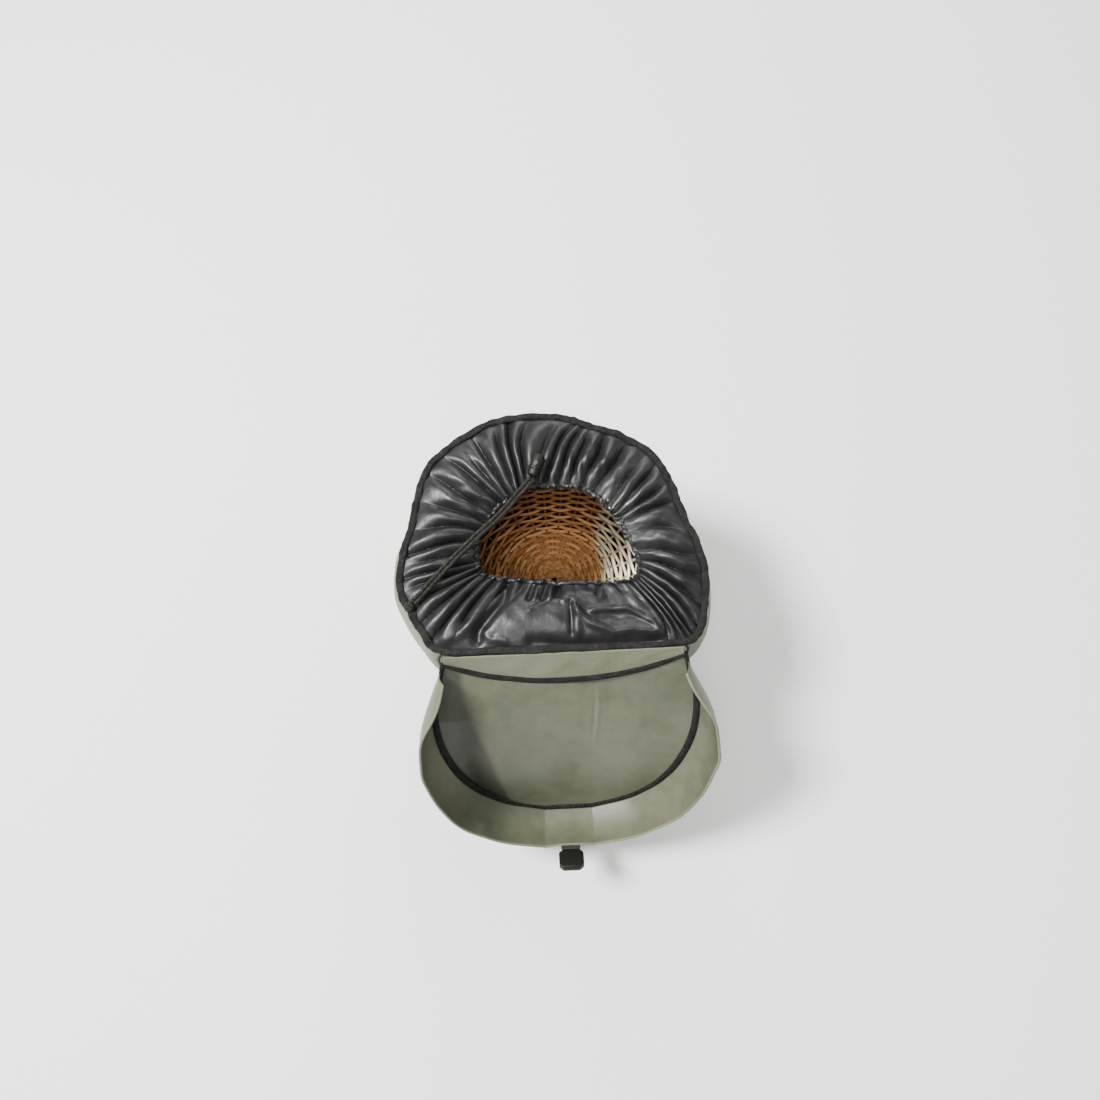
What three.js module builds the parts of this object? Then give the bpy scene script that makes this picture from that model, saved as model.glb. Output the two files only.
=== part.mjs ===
// A mushroom foraging backpack: an olive cloth shell with a gathered throat, an open lid and
// a willow basket inside.
// Millimetres. +Z is up, -Y is the wearer's side, and the origin is under the middle of the base.
import * as THREE from 'three';

// Bag
const bagWidth = 380; // across the rim
const bagDepth = 295; // from the back panel to the front of the rim
const rimHeight = 305; // the rim above the ground at the back panel
const rimRise = 8; // how much higher the rim stands at the front
const clothWall = 2;
const baseWall = 2.5;
const seamGap = 0.3; // between two pieces that are sewn or laid together
const rippleHeight = 1.4; // how far the sewn rim waves up and down
const rippleCount = 9;
const sideSeamGap = 1.8; // between the front wall and the back panel
const crumpleDepth = 2.5; // how deep the soft folds of the shell are
const crumpleCount = 11;

// Binding round the rim
const bindingWidth = 9;
const bindingHeight = 7;
const bindingSides = 6;

// Collar and the drawcord channel round its mouth
const mouthWidth = 186;
const mouthDepth = 121;
const mouthCentreY = -5;
const mouthDrop = 5; // how far the mouth lies below the rim
const collarWall = 1.2;
const collarPuff = 8; // how far the collar bulges up between the rim and the mouth
const foldDepth = 6;
const foldCount = 26;
const columnsPerFold = 4;
const hemSectionsPerFold = 3;
const hemWidth = 6;
const hemHeight = 9;

// Drawcord
const cordDiameter = 4.5;
const strandSpacing = 4.9; // between the two strands' middles
const cordSteps = 20;
const lockDiameter = 16;
const lockLength = 29;
const leadLength = 5; // how far the cord runs straight out of the lock
const buttonDiameter = 6;
const buttonHeight = 2;
const knotLength = 13;
const knotHeight = 9;
const knotBluntness = 0.7; // below 1 the knot's sides are fuller than an oval's

// Basket
const basketSideClear = 42; // from the rim's line to the basket's outline, on each side
const basketDepthClear = 43; // the same from front to back, in all
const basketWidth = bagWidth - 2 * basketSideClear;
const basketDepth = bagDepth - basketDepthClear;
const basketCentreY = 5;
const basketHeight = 260;
const basketWall = 6;
const basketRimWidth = 14;
const basketRimHeight = 13;
const basketRoundness = 2.5; // power of the rounded oval outline
const bowlHeight = 0.42; // the share of the basket's height in which its wall spreads out
const basketColumns = 32; // faces round the wall, and up its bowl and its upright part
const bowlRows = 7;
const wallRows = 2;
const floorDiameter = 150;
const floorCentreX = -3;
const floorCentreY = 17;
const floorHeight = 28; // the underside of the floor's edge above the foot
const floorWall = 8;
const floorDome = 8;
const floorInset = 0.15; // the floor's edge inside the wall, past the seam gap
const domeShoulder = { radius: 0.5, height: 0.72 }; // where the dome bends, as shares

// Lid
const lidWidth = 320;
const lidLength = 245;
const lidWallHeight = 55;
const lidWall = 2;
const lidWallBow = 5; // how far the wall's middle bows outward
const lidDish = 12; // how far the panel's sides curl up
const dishPower = 2.6; // how near the sides the curl begins
const dishStart = 0.25; // the share of the panel's length in which the curl grows
const gussetWall = 1.2;
const gussetOut = 22; // how far the hinge gusset stands off the rim at its middle
const gussetDrop = 45; // how far it falls there
const cornerOut = 4; // the same at the lid's corners
const cornerDrop = 12;
const cornerReach = 65; // how far down the panel the lifted corners fade out
const cornerPower = 2.2; // how narrow the lifted corners are
const panelMiddle = 0.45; // the share of the panel's length that its walls lean toward
const seamBinding = 5.2; // diameter of the bound seam round the panel
const seamSides = 5;
const seamSide = 0.44; // the share of the seam that runs down each side of the panel
const wallOpening = 0.012; // the share of the wall left off at each hinge corner
const gussetSpan = 0.97; // of the panel's width at the hinge

// Carrying straps
const stripChamfer = 0.3; // of a strip's thickness
const strapWidth = 56;
const strapPad = 11;
const strapTopZ = 270;
const strapTopX = 58;
const strapEndX = 92;
const strapDrop = 196; // from the top seam to the adjuster
const strapReach = 50; // how far the strap bows off the back panel
const webbingWidth = 25;
const webbingWall = 1.8;
const webbingBend = 12; // how soon it turns at both ends
const webbingEndX = 104;
const webbingEndZ = 18;
const adjusterWidth = 34;
const adjusterLength = 24;
const adjusterWall = 5;
const adjusterBar = 4;

// Haul loop
const loopSpan = 104;
const loopReach = 20;
const loopZ = 226;
const loopFlare = 1.4; // how late the loop leaves the panel

// Closure
const frontStrapLow = 0.16; // the strap's ends, as shares of the shell's height
const frontStrapHigh = 0.52;
const frontStrapClear = 1; // off the bulging shell
const lidStrapLow = 0.2; // the same, as shares of the lid wall's height
const lidStrapHigh = 1.1;
const lidStrapClear = 0.9;
const buckleWidth = 32;
const buckleLength = 30;
const buckleWall = 8;
const buckleCorner = 5;

const olive = 0x8f9179;
const materials = {
  oliveCloth: { color: olive, roughness: 0.8 },
  oliveCoating: { color: 0x6d7058, roughness: 0.45 },
  blackNylon: { color: 0x232325, roughness: 0.35 },
  blackBinding: { color: 0x2d2d2b, roughness: 0.85 },
  willow: { color: 0xa5642f, roughness: 0.6 },
  cord: { color: 0x35332b, roughness: 0.8 },
  plastic: { color: 0x2c2a24, roughness: 0.45 },
  metal: { color: 0xb9b9b9, roughness: 0.3, metalness: 1 },
};

// One row for each radial line of the collar, from the front's middle, counter-clockwise from above.
// rimX and mouthX are shares of the half width, rimY and mouthY of the half depth.
const collarRows = [
  { rimX: -0.03, rimY: 1.01, mouthX: -0.05, mouthY: 0.98 },
  { rimX: -0.28, rimY: 1.0, mouthX: -0.24, mouthY: 0.985 },
  { rimX: -0.465, rimY: 0.94, mouthX: -0.45, mouthY: 0.9 },
  { rimX: -0.695, rimY: 0.74, mouthX: -0.645, mouthY: 0.695 },
  { rimX: -0.825, rimY: 0.55, mouthX: -0.8, mouthY: 0.46 },
  { rimX: -0.885, rimY: 0.31, mouthX: -0.905, mouthY: 0.18 },
  { rimX: -0.92, rimY: 0.05, mouthX: -0.98, mouthY: -0.05 },
  { rimX: -0.975, rimY: -0.19, mouthX: -1.005, mouthY: -0.28 },
  { rimX: -0.985, rimY: -0.44, mouthX: -1.0, mouthY: -0.51 },
  { rimX: -0.91, rimY: -0.66, mouthX: -0.97, mouthY: -0.69 },
  { rimX: -0.83, rimY: -0.84, mouthX: -0.86, mouthY: -0.78 },
  { rimX: -0.72, rimY: -0.965, mouthX: -0.71, mouthY: -0.82 },
  { rimX: -0.4, rimY: -0.98, mouthX: -0.39, mouthY: -0.89 },
  { rimX: 0.0, rimY: -0.985, mouthX: -0.02, mouthY: -0.96 },
  { rimX: 0.4, rimY: -0.985, mouthX: 0.345, mouthY: -0.975 },
  { rimX: 0.735, rimY: -0.975, mouthX: 0.67, mouthY: -1.02 },
  { rimX: 0.83, rimY: -0.9, mouthX: 0.9, mouthY: -0.96 },
  { rimX: 0.885, rimY: -0.7, mouthX: 0.985, mouthY: -0.84 },
  { rimX: 0.905, rimY: -0.42, mouthX: 0.995, mouthY: -0.6 },
  { rimX: 0.87, rimY: -0.15, mouthX: 0.945, mouthY: -0.32 },
  { rimX: 0.8, rimY: 0.1, mouthX: 0.86, mouthY: -0.02 },
  { rimX: 0.76, rimY: 0.3, mouthX: 0.795, mouthY: 0.215 },
  { rimX: 0.705, rimY: 0.48, mouthX: 0.71, mouthY: 0.41 },
  { rimX: 0.615, rimY: 0.66, mouthX: 0.6, mouthY: 0.61 },
  { rimX: 0.44, rimY: 0.81, mouthX: 0.45, mouthY: 0.82 },
  { rimX: 0.27, rimY: 0.89, mouthX: 0.28, mouthY: 0.925 },
  { rimX: 0.12, rimY: 0.98, mouthX: 0.12, mouthY: 0.975 },
];
const rearLeftRow = 11; // the rows at the back panel's two side seams
const rearRightRow = 15;

// The shell's sections: shares of its height, of the rim's width and of the rim's depth.
const shellSections = [
  { height: 0, width: 0.88, depth: 0.88 },
  { height: 0.06, width: 0.93, depth: 0.925 },
  { height: 0.22, width: 1.0, depth: 0.98 },
  { height: 0.5, width: 1.06, depth: 1.02 },
  { height: 0.78, width: 1.085, depth: 1.035 },
  { height: 0.92, width: 1.06, depth: 1.025 },
  { height: 1, width: 1.0, depth: 1.0 },
];

// How deep the collar's folds are from the rim (0) to the mouth (1), as shares of foldDepth.
const foldSections = [
  { inward: 0, depth: 0.08 },
  { inward: 0.25, depth: 0.55 },
  { inward: 0.6, depth: 1 },
  { inward: 0.85, depth: 0.9 },
  { inward: 1, depth: 0.6 },
];

// The basket's sections: shares of its height, and how far the outline has grown from the floor's
// to the rim's.
const basketSections = [
  { height: 0, spread: 0.06 },
  { height: 0.06, spread: 0.02 },
  { height: 0.125, spread: 0.03 },
  { height: 0.17, spread: 0.3 },
  { height: 0.23, spread: 0.54 },
  { height: 0.31, spread: 0.76 },
  { height: 0.42, spread: 0.93 },
  { height: 0.6, spread: 1.02 },
  { height: 0.82, spread: 1.02 },
  { height: 1, spread: 1 },
];

// The lid's panel from the hinge seam down: shares of lidLength, of the half width, and the run of
// its slope.
const lidSections = [
  { down: 0, half: 0.88, out: 0, drop: 0 },
  { down: 0.12, half: 0.975, out: 0.075, drop: 0.092 },
  { down: 0.3, half: 1.0, out: 0.19, drop: 0.23 },
  { down: 0.5, half: 0.94, out: 0.31, drop: 0.39 },
  { down: 0.68, half: 0.82, out: 0.41, drop: 0.54 },
  { down: 0.82, half: 0.66, out: 0.48, drop: 0.66 },
  { down: 0.93, half: 0.45, out: 0.532, drop: 0.757 },
  { down: 1, half: 0.2, out: 0.563, drop: 0.82 },
];

// The lid's wall from the left hinge corner round to the right one: its height as a share of lidWallHeight,
// and how far it leans inward, in degrees.
const lidWallRows = [
  { around: 0, height: 0.25, lean: 14 },
  { around: 0.04, height: 0.8, lean: 5 },
  { around: 0.1, height: 1, lean: -8 },
  { around: 0.19, height: 1, lean: -13 },
  { around: 0.32, height: 1, lean: -14 },
  { around: 0.5, height: 1, lean: 4 },
  { around: 0.68, height: 1, lean: -14 },
  { around: 0.81, height: 1, lean: -18 },
  { around: 0.9, height: 1, lean: -12 },
  { around: 0.96, height: 0.8, lean: 0 },
  { around: 1, height: 0.25, lean: 20 },
];

// The shoulder strap's side view: shares of strapDrop and strapReach.
const strapRows = [
  { drop: 0, reach: 0 },
  { drop: 0.04, reach: 0.01 },
  { drop: 0.1, reach: 0.12 },
  { drop: 0.2, reach: 0.42 },
  { drop: 0.36, reach: 0.8 },
  { drop: 0.54, reach: 1 },
  { drop: 0.72, reach: 0.96 },
  { drop: 0.88, reach: 0.74 },
  { drop: 1, reach: 0.52 },
];

// The doubled drawcord's route between its two strands, from near the lock to the knot at the rim.
const cordRoute = [
  [-31.5, 56.5, 324],
  [-38, 49, 322.5],
  [-46, 41, 321],
  [-54, 32, 320],
  [-62, 23, 319.5],
  [-70, 14.5, 320],
  [-78, 6.5, 321],
  [-87, -2, 322.5],
  [-97, -12, 324],
  [-107, -22, 324.8],
  [-118, -33, 325],
  [-129, -44, 324],
  [-140, -55, 322],
  [-151, -66, 319],
  [-161, -76, 316.2],
  [-170.7, -85.3, 314.5],
];
const knotPlace = [-175.6, -89.8, 314.3];
const lockPlace = [-21.8, 75.8, 327.5];
const lockHeading = [-0.37, -0.92, -0.13]; // from the lock's far end to the end that the cord leaves

// The lock's side view: shares of its length from the cord's end, and of its radius.
const lockSections = [
  { along: -0.5, radius: 0 },
  { along: -0.5, radius: 0.66 },
  { along: -0.42, radius: 0.86 },
  { along: -0.2, radius: 1 },
  { along: 0.15, radius: 1 },
  { along: 0.4, radius: 0.84 },
  { along: 0.5, radius: 0.5 },
  { along: 0.5, radius: 0 },
];

const vector = (x, y, z = 0) => new THREE.Vector3(x, y, z);
const up = vector(0, 0, 1);
const mix = (from, to, share) => from + (to - from) * share;
const turnOf = (share) => share * 2 * Math.PI;
const evenly = (steps, placeOf) => Array.from({ length: steps + 1 }, (_, k) => placeOf(k / steps));

// A smooth value from a table of rows, read at a place between the rows' own places.
function tableCurve(rows, placeColumn, valueColumn) {
  return (place) => {
    const last = rows.length - 1;
    const after = rows.findIndex((row) => row[placeColumn] > place);
    const right = after === -1 ? last : Math.max(1, after);
    const [before, left, next, beyond] = [right - 2, right - 1, right, right + 1]
      .map((index) => rows[THREE.MathUtils.clamp(index, 0, last)]);
    const gap = next[placeColumn] - left[placeColumn];
    const share = THREE.MathUtils.clamp((place - left[placeColumn]) / gap, 0, 1);
    const slope = (a, b) => gap * (b[valueColumn] - a[valueColumn]) / (b[placeColumn] - a[placeColumn]);
    const squared = share * share;
    const cubed = squared * share;
    return left[valueColumn] * (2 * cubed - 3 * squared + 1)
      + slope(before, next) * (cubed - 2 * squared + share)
      + next[valueColumn] * (3 * squared - 2 * cubed)
      + slope(left, beyond) * (cubed - squared);
  };
}

// A body from its points and faces, turned to face outward.
function bodyFrom(points, faces) {
  const volume = faces.reduce((sum, [a, b, c]) => (
    sum + points[a].dot(points[b].clone().cross(points[c]))
  ), 0);
  const outward = volume < 0 ? faces.map(([a, b, c]) => [a, c, b]) : faces;
  const geometry = new THREE.BufferGeometry();
  const places = points.flatMap((point) => point.toArray());
  geometry.setAttribute('position', new THREE.Float32BufferAttribute(places, 3));
  geometry.setIndex(outward.flat());
  geometry.computeVertexNormals();
  return geometry;
}

const quad = (a, b, c, d) => [[a, b, c], [a, c, d]];

// A body through rings of points. It is capped at both ends, or closes on itself.
function loftBody(rings, closed = false) {
  const count = rings[0].length;
  const points = rings.flat();
  const faces = [];
  const spans = closed ? rings.length : rings.length - 1;
  for (let i = 0; i < spans; i += 1) {
    const ring = i * count;
    const nextRing = ((i + 1) % rings.length) * count;
    for (let j = 0; j < count; j += 1) {
      const k = (j + 1) % count;
      faces.push(...quad(ring + j, ring + k, nextRing + k, nextRing + j));
    }
  }
  if (!closed) {
    for (const [ring, start] of [[rings[0], 0], [rings.at(-1), (rings.length - 1) * count]]) {
      const middle = ring.reduce((sum, p) => sum.add(p), vector(0, 0)).divideScalar(count);
      const centre = points.push(middle) - 1;
      for (let j = 0; j < count; j += 1) {
        const [a, b] = [start + j, start + (j + 1) % count];
        faces.push(start === 0 ? [centre, b, a] : [centre, a, b]);
      }
    }
  }
  return bodyFrom(points, faces);
}

// The direction square to a surface at u and v, from small steps along both.
function surfaceNormal(at, u, v) {
  const step = 1e-3;
  const alongU = at(u + step, v).sub(at(u - step, v));
  const alongV = at(u, Math.min(1, v + step)).sub(at(u, Math.max(0, v - step)));
  return alongU.cross(alongV).normalize();
}

// A cloth wall with its middle on the surface at(u, v). A ring closes on itself along u.
function sheetBody(at, { columns, rows, wall, ring = false, normal = surfaceNormal }) {
  const lines = ring ? columns : columns + 1;
  const layers = [wall / 2, -wall / 2].map((offset) => {
    const layer = [];
    for (let i = 0; i < lines; i += 1) {
      for (let j = 0; j <= rows; j += 1) {
        const [u, v] = [i / columns, j / rows];
        layer.push(at(u, v).addScaledVector(normal(at, u, v), offset));
      }
    }
    return layer;
  });
  const points = layers.flat();
  const index = (layer, i, j) => layer * lines * (rows + 1) + (i % lines) * (rows + 1) + j;
  const faces = [];
  for (let i = 0; i < columns; i += 1) {
    for (let j = 0; j < rows; j += 1) {
      faces.push(...quad(index(0, i, j), index(0, i + 1, j), index(0, i + 1, j + 1), index(0, i, j + 1)));
      faces.push(...quad(index(1, i, j), index(1, i, j + 1), index(1, i + 1, j + 1), index(1, i + 1, j)));
    }
    faces.push(...quad(index(0, i, 0), index(1, i, 0), index(1, i + 1, 0), index(0, i + 1, 0)));
    faces.push(...quad(index(0, i, rows), index(0, i + 1, rows), index(1, i + 1, rows), index(1, i, rows)));
  }
  if (!ring) {
    for (let j = 0; j < rows; j += 1) {
      faces.push(...quad(index(0, 0, j), index(0, 0, j + 1), index(1, 0, j + 1), index(1, 0, j)));
      faces.push(...quad(index(0, columns, j), index(1, columns, j),
        index(1, columns, j + 1), index(0, columns, j + 1)));
    }
  }
  return bodyFrom(points, faces);
}

// The points of an oval section in the plane of two directions.
function ovalRing(centre, across, above, width, height, sides) {
  return Array.from({ length: sides }, (_, k) => {
    const angle = turnOf((k + 0.5) / sides);
    return centre.clone()
      .addScaledVector(across, Math.cos(angle) * width / 2)
      .addScaledVector(above, Math.sin(angle) * height / 2);
  });
}

// A flat strip with chamfered edges, carried along places that each hold its middle and the
// directions of its side and face.
function stripBody(stations, width, thickness) {
  const chamfer = thickness * stripChamfer;
  const [w, t] = [width / 2, thickness / 2];
  const outline = [
    [w, chamfer - t], [w, t - chamfer], [w - chamfer, t], [chamfer - w, t],
    [-w, t - chamfer], [-w, chamfer - t], [chamfer - w, -t], [w - chamfer, -t],
  ];
  return loftBody(stations.map(({ middle, side, face }) => outline.map(([x, y]) => (
    middle.clone().addScaledVector(side, x).addScaledVector(face, y)
  ))));
}

// The rim's line and the mouth's line, by rows of the collar's table.
const closedLine = (rows, pointOf) => new THREE.CatmullRomCurve3(rows.map(pointOf), true, 'centripetal');
const rimLine = closedLine(collarRows, ({ rimX, rimY }) => (
  vector(rimX * bagWidth / 2, rimY * bagDepth / 2)
));
const mouthLine = closedLine(collarRows, ({ mouthX, mouthY }) => (
  vector(mouthX * mouthWidth / 2, mouthCentreY + mouthY * mouthDepth / 2)
));
const wrap = (turn) => ((turn % 1) + 1) % 1;
const rowTurn = (row) => row / collarRows.length;
const rimZ = (y) => rimHeight + rimRise * (y / bagDepth + 0.5);
const backY = rimLine.getPoint(rowTurn((rearLeftRow + rearRightRow) / 2)).y;

function rimAt(turn) {
  const point = rimLine.getPoint(wrap(turn));
  point.z = rimZ(point.y) + rippleHeight * Math.sin(turnOf(turn * rippleCount));
  return point;
}

function mouthAt(turn) {
  const point = mouthLine.getPoint(wrap(turn));
  point.z = rimZ(point.y) - mouthDrop;
  return point;
}

// The level direction from the rim to the mouth on one seam line of the collar.
const inwardAt = (turn) => mouthAt(turn).sub(rimAt(turn)).setZ(0).normalize();

// Shell
const shellWidth = tableCurve(shellSections, 'height', 'width');
const shellDepth = tableCurve(shellSections, 'height', 'depth');
const wallFoot = baseWall + seamGap;
const rearLeft = rowTurn(rearLeftRow);
const rearRight = rowTurn(rearRightRow);

function shellAt(turn, height) {
  const rim = rimAt(turn);
  const top = rim.z - bindingHeight / 2 - seamGap;
  const front = THREE.MathUtils.smoothstep(rim.y, backY, 0);
  const crumple = crumpleDepth * front * Math.sin(turnOf(turn * crumpleCount) + 4 * height);
  const bulge = 1 + crumple * Math.sin(Math.PI * height) * 2 / bagWidth;
  return vector(
    rim.x * shellWidth(height) * bulge,
    backY + (rim.y - backY) * shellDepth(height) * bulge,
    mix(wallFoot, top, height),
  );
}

// The wall's thickness is measured level, so that its edges stay at their heights.
function levelNormal(at, u, v) {
  const step = 1e-3;
  return at(u + step, v).sub(at(u - step, v)).setZ(0).normalize().cross(up);
}

const rearmost = Math.min(...evenly(24, (share) => rimLine.getPoint(mix(rearLeft, rearRight, share)).y));
const backFace = rearmost - clothWall / 2;
const sideSeam = sideSeamGap / 2 / (bagWidth * Math.PI); // half the gap, as a share of a turn
const frontWall = () => sheetBody(
  (u, v) => shellAt(mix(rearRight + sideSeam, 1 + rearLeft - sideSeam, u), v),
  { columns: 40, rows: 6, wall: clothWall, normal: levelNormal },
);
const backPanel = () => sheetBody(
  (u, v) => shellAt(mix(rearLeft + sideSeam, rearRight - sideSeam, u), v),
  { columns: 8, rows: 6, wall: clothWall, normal: levelNormal },
);

function bottomPanel() {
  const sides = 48;
  const outline = Array.from({ length: sides }, (_, k) => {
    const { x, y } = shellAt(k / sides, 0);
    return new THREE.Vector2(x, y);
  });
  return new THREE.ExtrudeGeometry(new THREE.Shape(outline), { depth: baseWall, bevelEnabled: false });
}

function rimBinding() {
  const sections = 60;
  return loftBody(Array.from({ length: sections }, (_, k) => (
    ovalRing(rimAt(k / sections), inwardAt(k / sections), up, bindingWidth, bindingHeight, bindingSides)
  )), true);
}

// Collar
const foldProfile = tableCurve(foldSections, 'inward', 'depth');
const foldWave = (turn, inward) => foldDepth * foldProfile(inward) * Math.cos(turnOf(turn * foldCount));

function collarAt(turn, inward) {
  const direction = inwardAt(turn);
  const start = rimAt(turn).addScaledVector(direction, (bindingWidth + collarWall) / 2 + seamGap);
  const end = mouthAt(turn).addScaledVector(direction, -hemWidth - collarWall / 2 - seamGap);
  const point = start.lerp(end, inward);
  point.z += collarPuff * Math.sin(Math.PI * inward) + foldWave(turn, inward);
  return point;
}

const collarColumns = foldCount * columnsPerFold;
const collar = () => sheetBody(collarAt, { columns: collarColumns, rows: 4, wall: collarWall, ring: true });

function collarHem() {
  const sections = foldCount * hemSectionsPerFold;
  return loftBody(Array.from({ length: sections }, (_, k) => {
    const turn = k / sections;
    const direction = inwardAt(turn);
    const middle = mouthAt(turn).addScaledVector(direction, -hemWidth / 2);
    middle.z += foldWave(turn, 1);
    return ovalRing(middle, direction, up, hemWidth, hemHeight, seamSides);
  }), true);
}

// Drawcord. It leaves the lock's flat end square to it.
const lockDirection = vector(...lockHeading).normalize();
const lockEnd = vector(...lockPlace).addScaledVector(lockDirection, lockLength / 2 + seamGap);
const cordMiddle = new THREE.CatmullRomCurve3([
  lockEnd, lockEnd.clone().addScaledVector(lockDirection, leadLength),
  ...cordRoute.map((point) => vector(...point)),
]);

function cordStrand(side) {
  const points = evenly(cordRoute.length, (share) => {
    const across = cordMiddle.getTangent(share).cross(up).normalize();
    return cordMiddle.getPoint(share).addScaledVector(across, side * strandSpacing / 2);
  });
  const sides = 8;
  const section = Array.from({ length: sides }, (_, k) => new THREE.Vector2(
    Math.cos(turnOf(k / sides)) * cordDiameter / 2,
    Math.sin(turnOf(k / sides)) * cordDiameter / 2,
  ));
  return new THREE.ExtrudeGeometry(new THREE.Shape(section), {
    steps: cordSteps,
    extrudePath: new THREE.CatmullRomCurve3(points),
  });
}

// A body turned round its own Z axis from a profile of [radius, height] pairs.
function turnedBody(profile, sides) {
  const points = profile.map(([radius, height]) => new THREE.Vector2(radius, height));
  return new THREE.LatheGeometry(points, sides).rotateX(Math.PI / 2);
}

function cordLock() {
  const profile = lockSections.map(({ along, radius }) => [radius * lockDiameter / 2, along * lockLength]);
  return turnedBody(profile, 12)
    .applyQuaternion(new THREE.Quaternion().setFromUnitVectors(up, lockDirection.clone().negate()))
    .translate(...lockPlace);
}

function lockButton() {
  const top = lockPlace[2] + lockDiameter / 2 + seamGap;
  return turnedBody([[0, 0], [buttonDiameter / 2, 0], [buttonDiameter / 2, buttonHeight / 2],
    [buttonDiameter / 3, buttonHeight], [0, buttonHeight]], 10)
    .translate(lockPlace[0], lockPlace[1], top);
}

function cordKnot() {
  const profile = evenly(6, (share) => {
    const angle = Math.PI * (share - 0.5);
    const radius = Math.max(0, Math.cos(angle)) ** knotBluntness * knotLength / 2;
    return [radius, Math.sin(angle) * knotHeight / 2];
  });
  return turnedBody(profile, 12).translate(...knotPlace);
}

// Basket
const basketSpread = tableCurve(basketSections, 'height', 'spread');
const basketFoot = baseWall + seamGap;

function basketAt(turn, height) {
  const angle = turnOf(turn);
  const [across, along] = [Math.cos(angle), Math.sin(angle)];
  const power = basketRoundness;
  const reach = (Math.abs(across * 2 / basketWidth) ** power
    + Math.abs(along * 2 / basketDepth) ** power) ** (-1 / power);
  const spread = basketSpread(height);
  return vector(
    mix(floorCentreX + across * floorDiameter / 2, across * reach, spread),
    mix(floorCentreY + along * floorDiameter / 2, basketCentreY + along * reach, spread),
    basketFoot + height * basketHeight,
  );
}

// The woven wall between two shares of its height.
const basketBand = (low, high, rows) => sheetBody(
  (turn, share) => basketAt(turn, mix(low, high, share)),
  { columns: basketColumns, rows, wall: basketWall, ring: true, normal: levelNormal },
);
const basketBowl = () => basketBand(0, bowlHeight, bowlRows);
const basketWallBody = () => basketBand(bowlHeight + seamGap / basketHeight, 1, wallRows);

function basketRim() {
  const sections = 36;
  return loftBody(Array.from({ length: sections }, (_, k) => {
    const middle = basketAt(k / sections, 1);
    middle.z += basketRimHeight / 2 + seamGap;
    const out = levelNormal(basketAt, k / sections, 1);
    return ovalRing(middle, out, up, basketRimWidth, basketRimHeight, bindingSides);
  }), true);
}

function basketFloor() {
  const radius = floorDiameter / 2 - basketWall / 2 - seamGap - floorInset;
  const shoulder = [radius * domeShoulder.radius, floorDome * domeShoulder.height];
  return turnedBody([
    [0, floorDome], shoulder, [radius, 0],
    [radius, floorWall], [shoulder[0], shoulder[1] + floorWall], [0, floorWall + floorDome],
  ], 24).translate(floorCentreX, floorCentreY, basketFoot + floorHeight);
}

// Lid. Its panel hangs from the hinge gusset, with the inside facing up and out.
const lidHalf = tableCurve(lidSections, 'down', 'half');
const lidOut = tableCurve(lidSections, 'down', 'out');
const lidDrop = tableCurve(lidSections, 'down', 'drop');
const bindingReach = bindingWidth / 2 * Math.cos(Math.PI / bindingSides);
const hingeY = backY - bindingReach - seamGap - gussetWall / 2;
const hingeX = mix(rimLine.getPoint(rearLeft).x, rimLine.getPoint(rearRight).x, 0.5);

function lidNormal(down) {
  const step = 0.02;
  const near = THREE.MathUtils.clamp(down, step, 1 - step);
  const run = lidOut(near + step) - lidOut(near - step);
  const fall = lidDrop(near + step) - lidDrop(near - step);
  return vector(0, -fall, run).normalize();
}

// across runs from -1 at the left seam to 1 at the right one, and down from 0 at the hinge to 1 at
// the far end.
function lidAt(across, down) {
  const lifted = Math.abs(across) ** cornerPower * Math.exp(-down * lidLength / cornerReach);
  const point = vector(
    hingeX + across * lidHalf(down) * lidWidth / 2,
    hingeY - gussetOut - lidOut(down) * lidLength + lifted * (gussetOut - cornerOut),
    rimHeight - gussetDrop - lidDrop(down) * lidLength + lifted * (gussetDrop - cornerDrop),
  );
  const dished = Math.abs(across * lidHalf(down)) ** dishPower * Math.min(1, down / dishStart);
  return point.addScaledVector(lidNormal(down), lidDish * dished);
}

const seamClear = seamBinding / 2 + 3 * seamGap;
const downInset = seamClear / lidLength;
const farInset = 1.5 * downInset; // the seam turns tightly at the far end

// How much of the half width is left inside the bound seam, measured square to the outline.
function insideSeam(down) {
  const step = 0.01;
  const near = THREE.MathUtils.clamp(down, step, 1 - step);
  const widening = (lidHalf(near + step) - lidHalf(near - step)) / (2 * step);
  const slope = widening * lidWidth / 2 / lidLength;
  return 1 - seamClear * Math.hypot(1, slope) * 2 / (lidHalf(down) * lidWidth);
}

const lidPanel = () => sheetBody((u, v) => {
  const down = mix(downInset, 1 - farInset, v);
  return lidAt(mix(-1, 1, u) * insideSeam(down), down);
}, { columns: 16, rows: 12, wall: lidWall });

// The seam round the panel: down the left side, across the far end and up the right side.
function lidSeamAt(around) {
  if (around < seamSide) {
    return { across: -1, down: around / seamSide };
  }
  if (around > 1 - seamSide) {
    return { across: 1, down: (1 - around) / seamSide };
  }
  return { across: mix(-1, 1, (around - seamSide) / (1 - 2 * seamSide)), down: 1 };
}

const lidWallHeightAt = tableCurve(lidWallRows, 'around', 'height');
const lidLeanAt = tableCurve(lidWallRows, 'around', 'lean');

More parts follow.
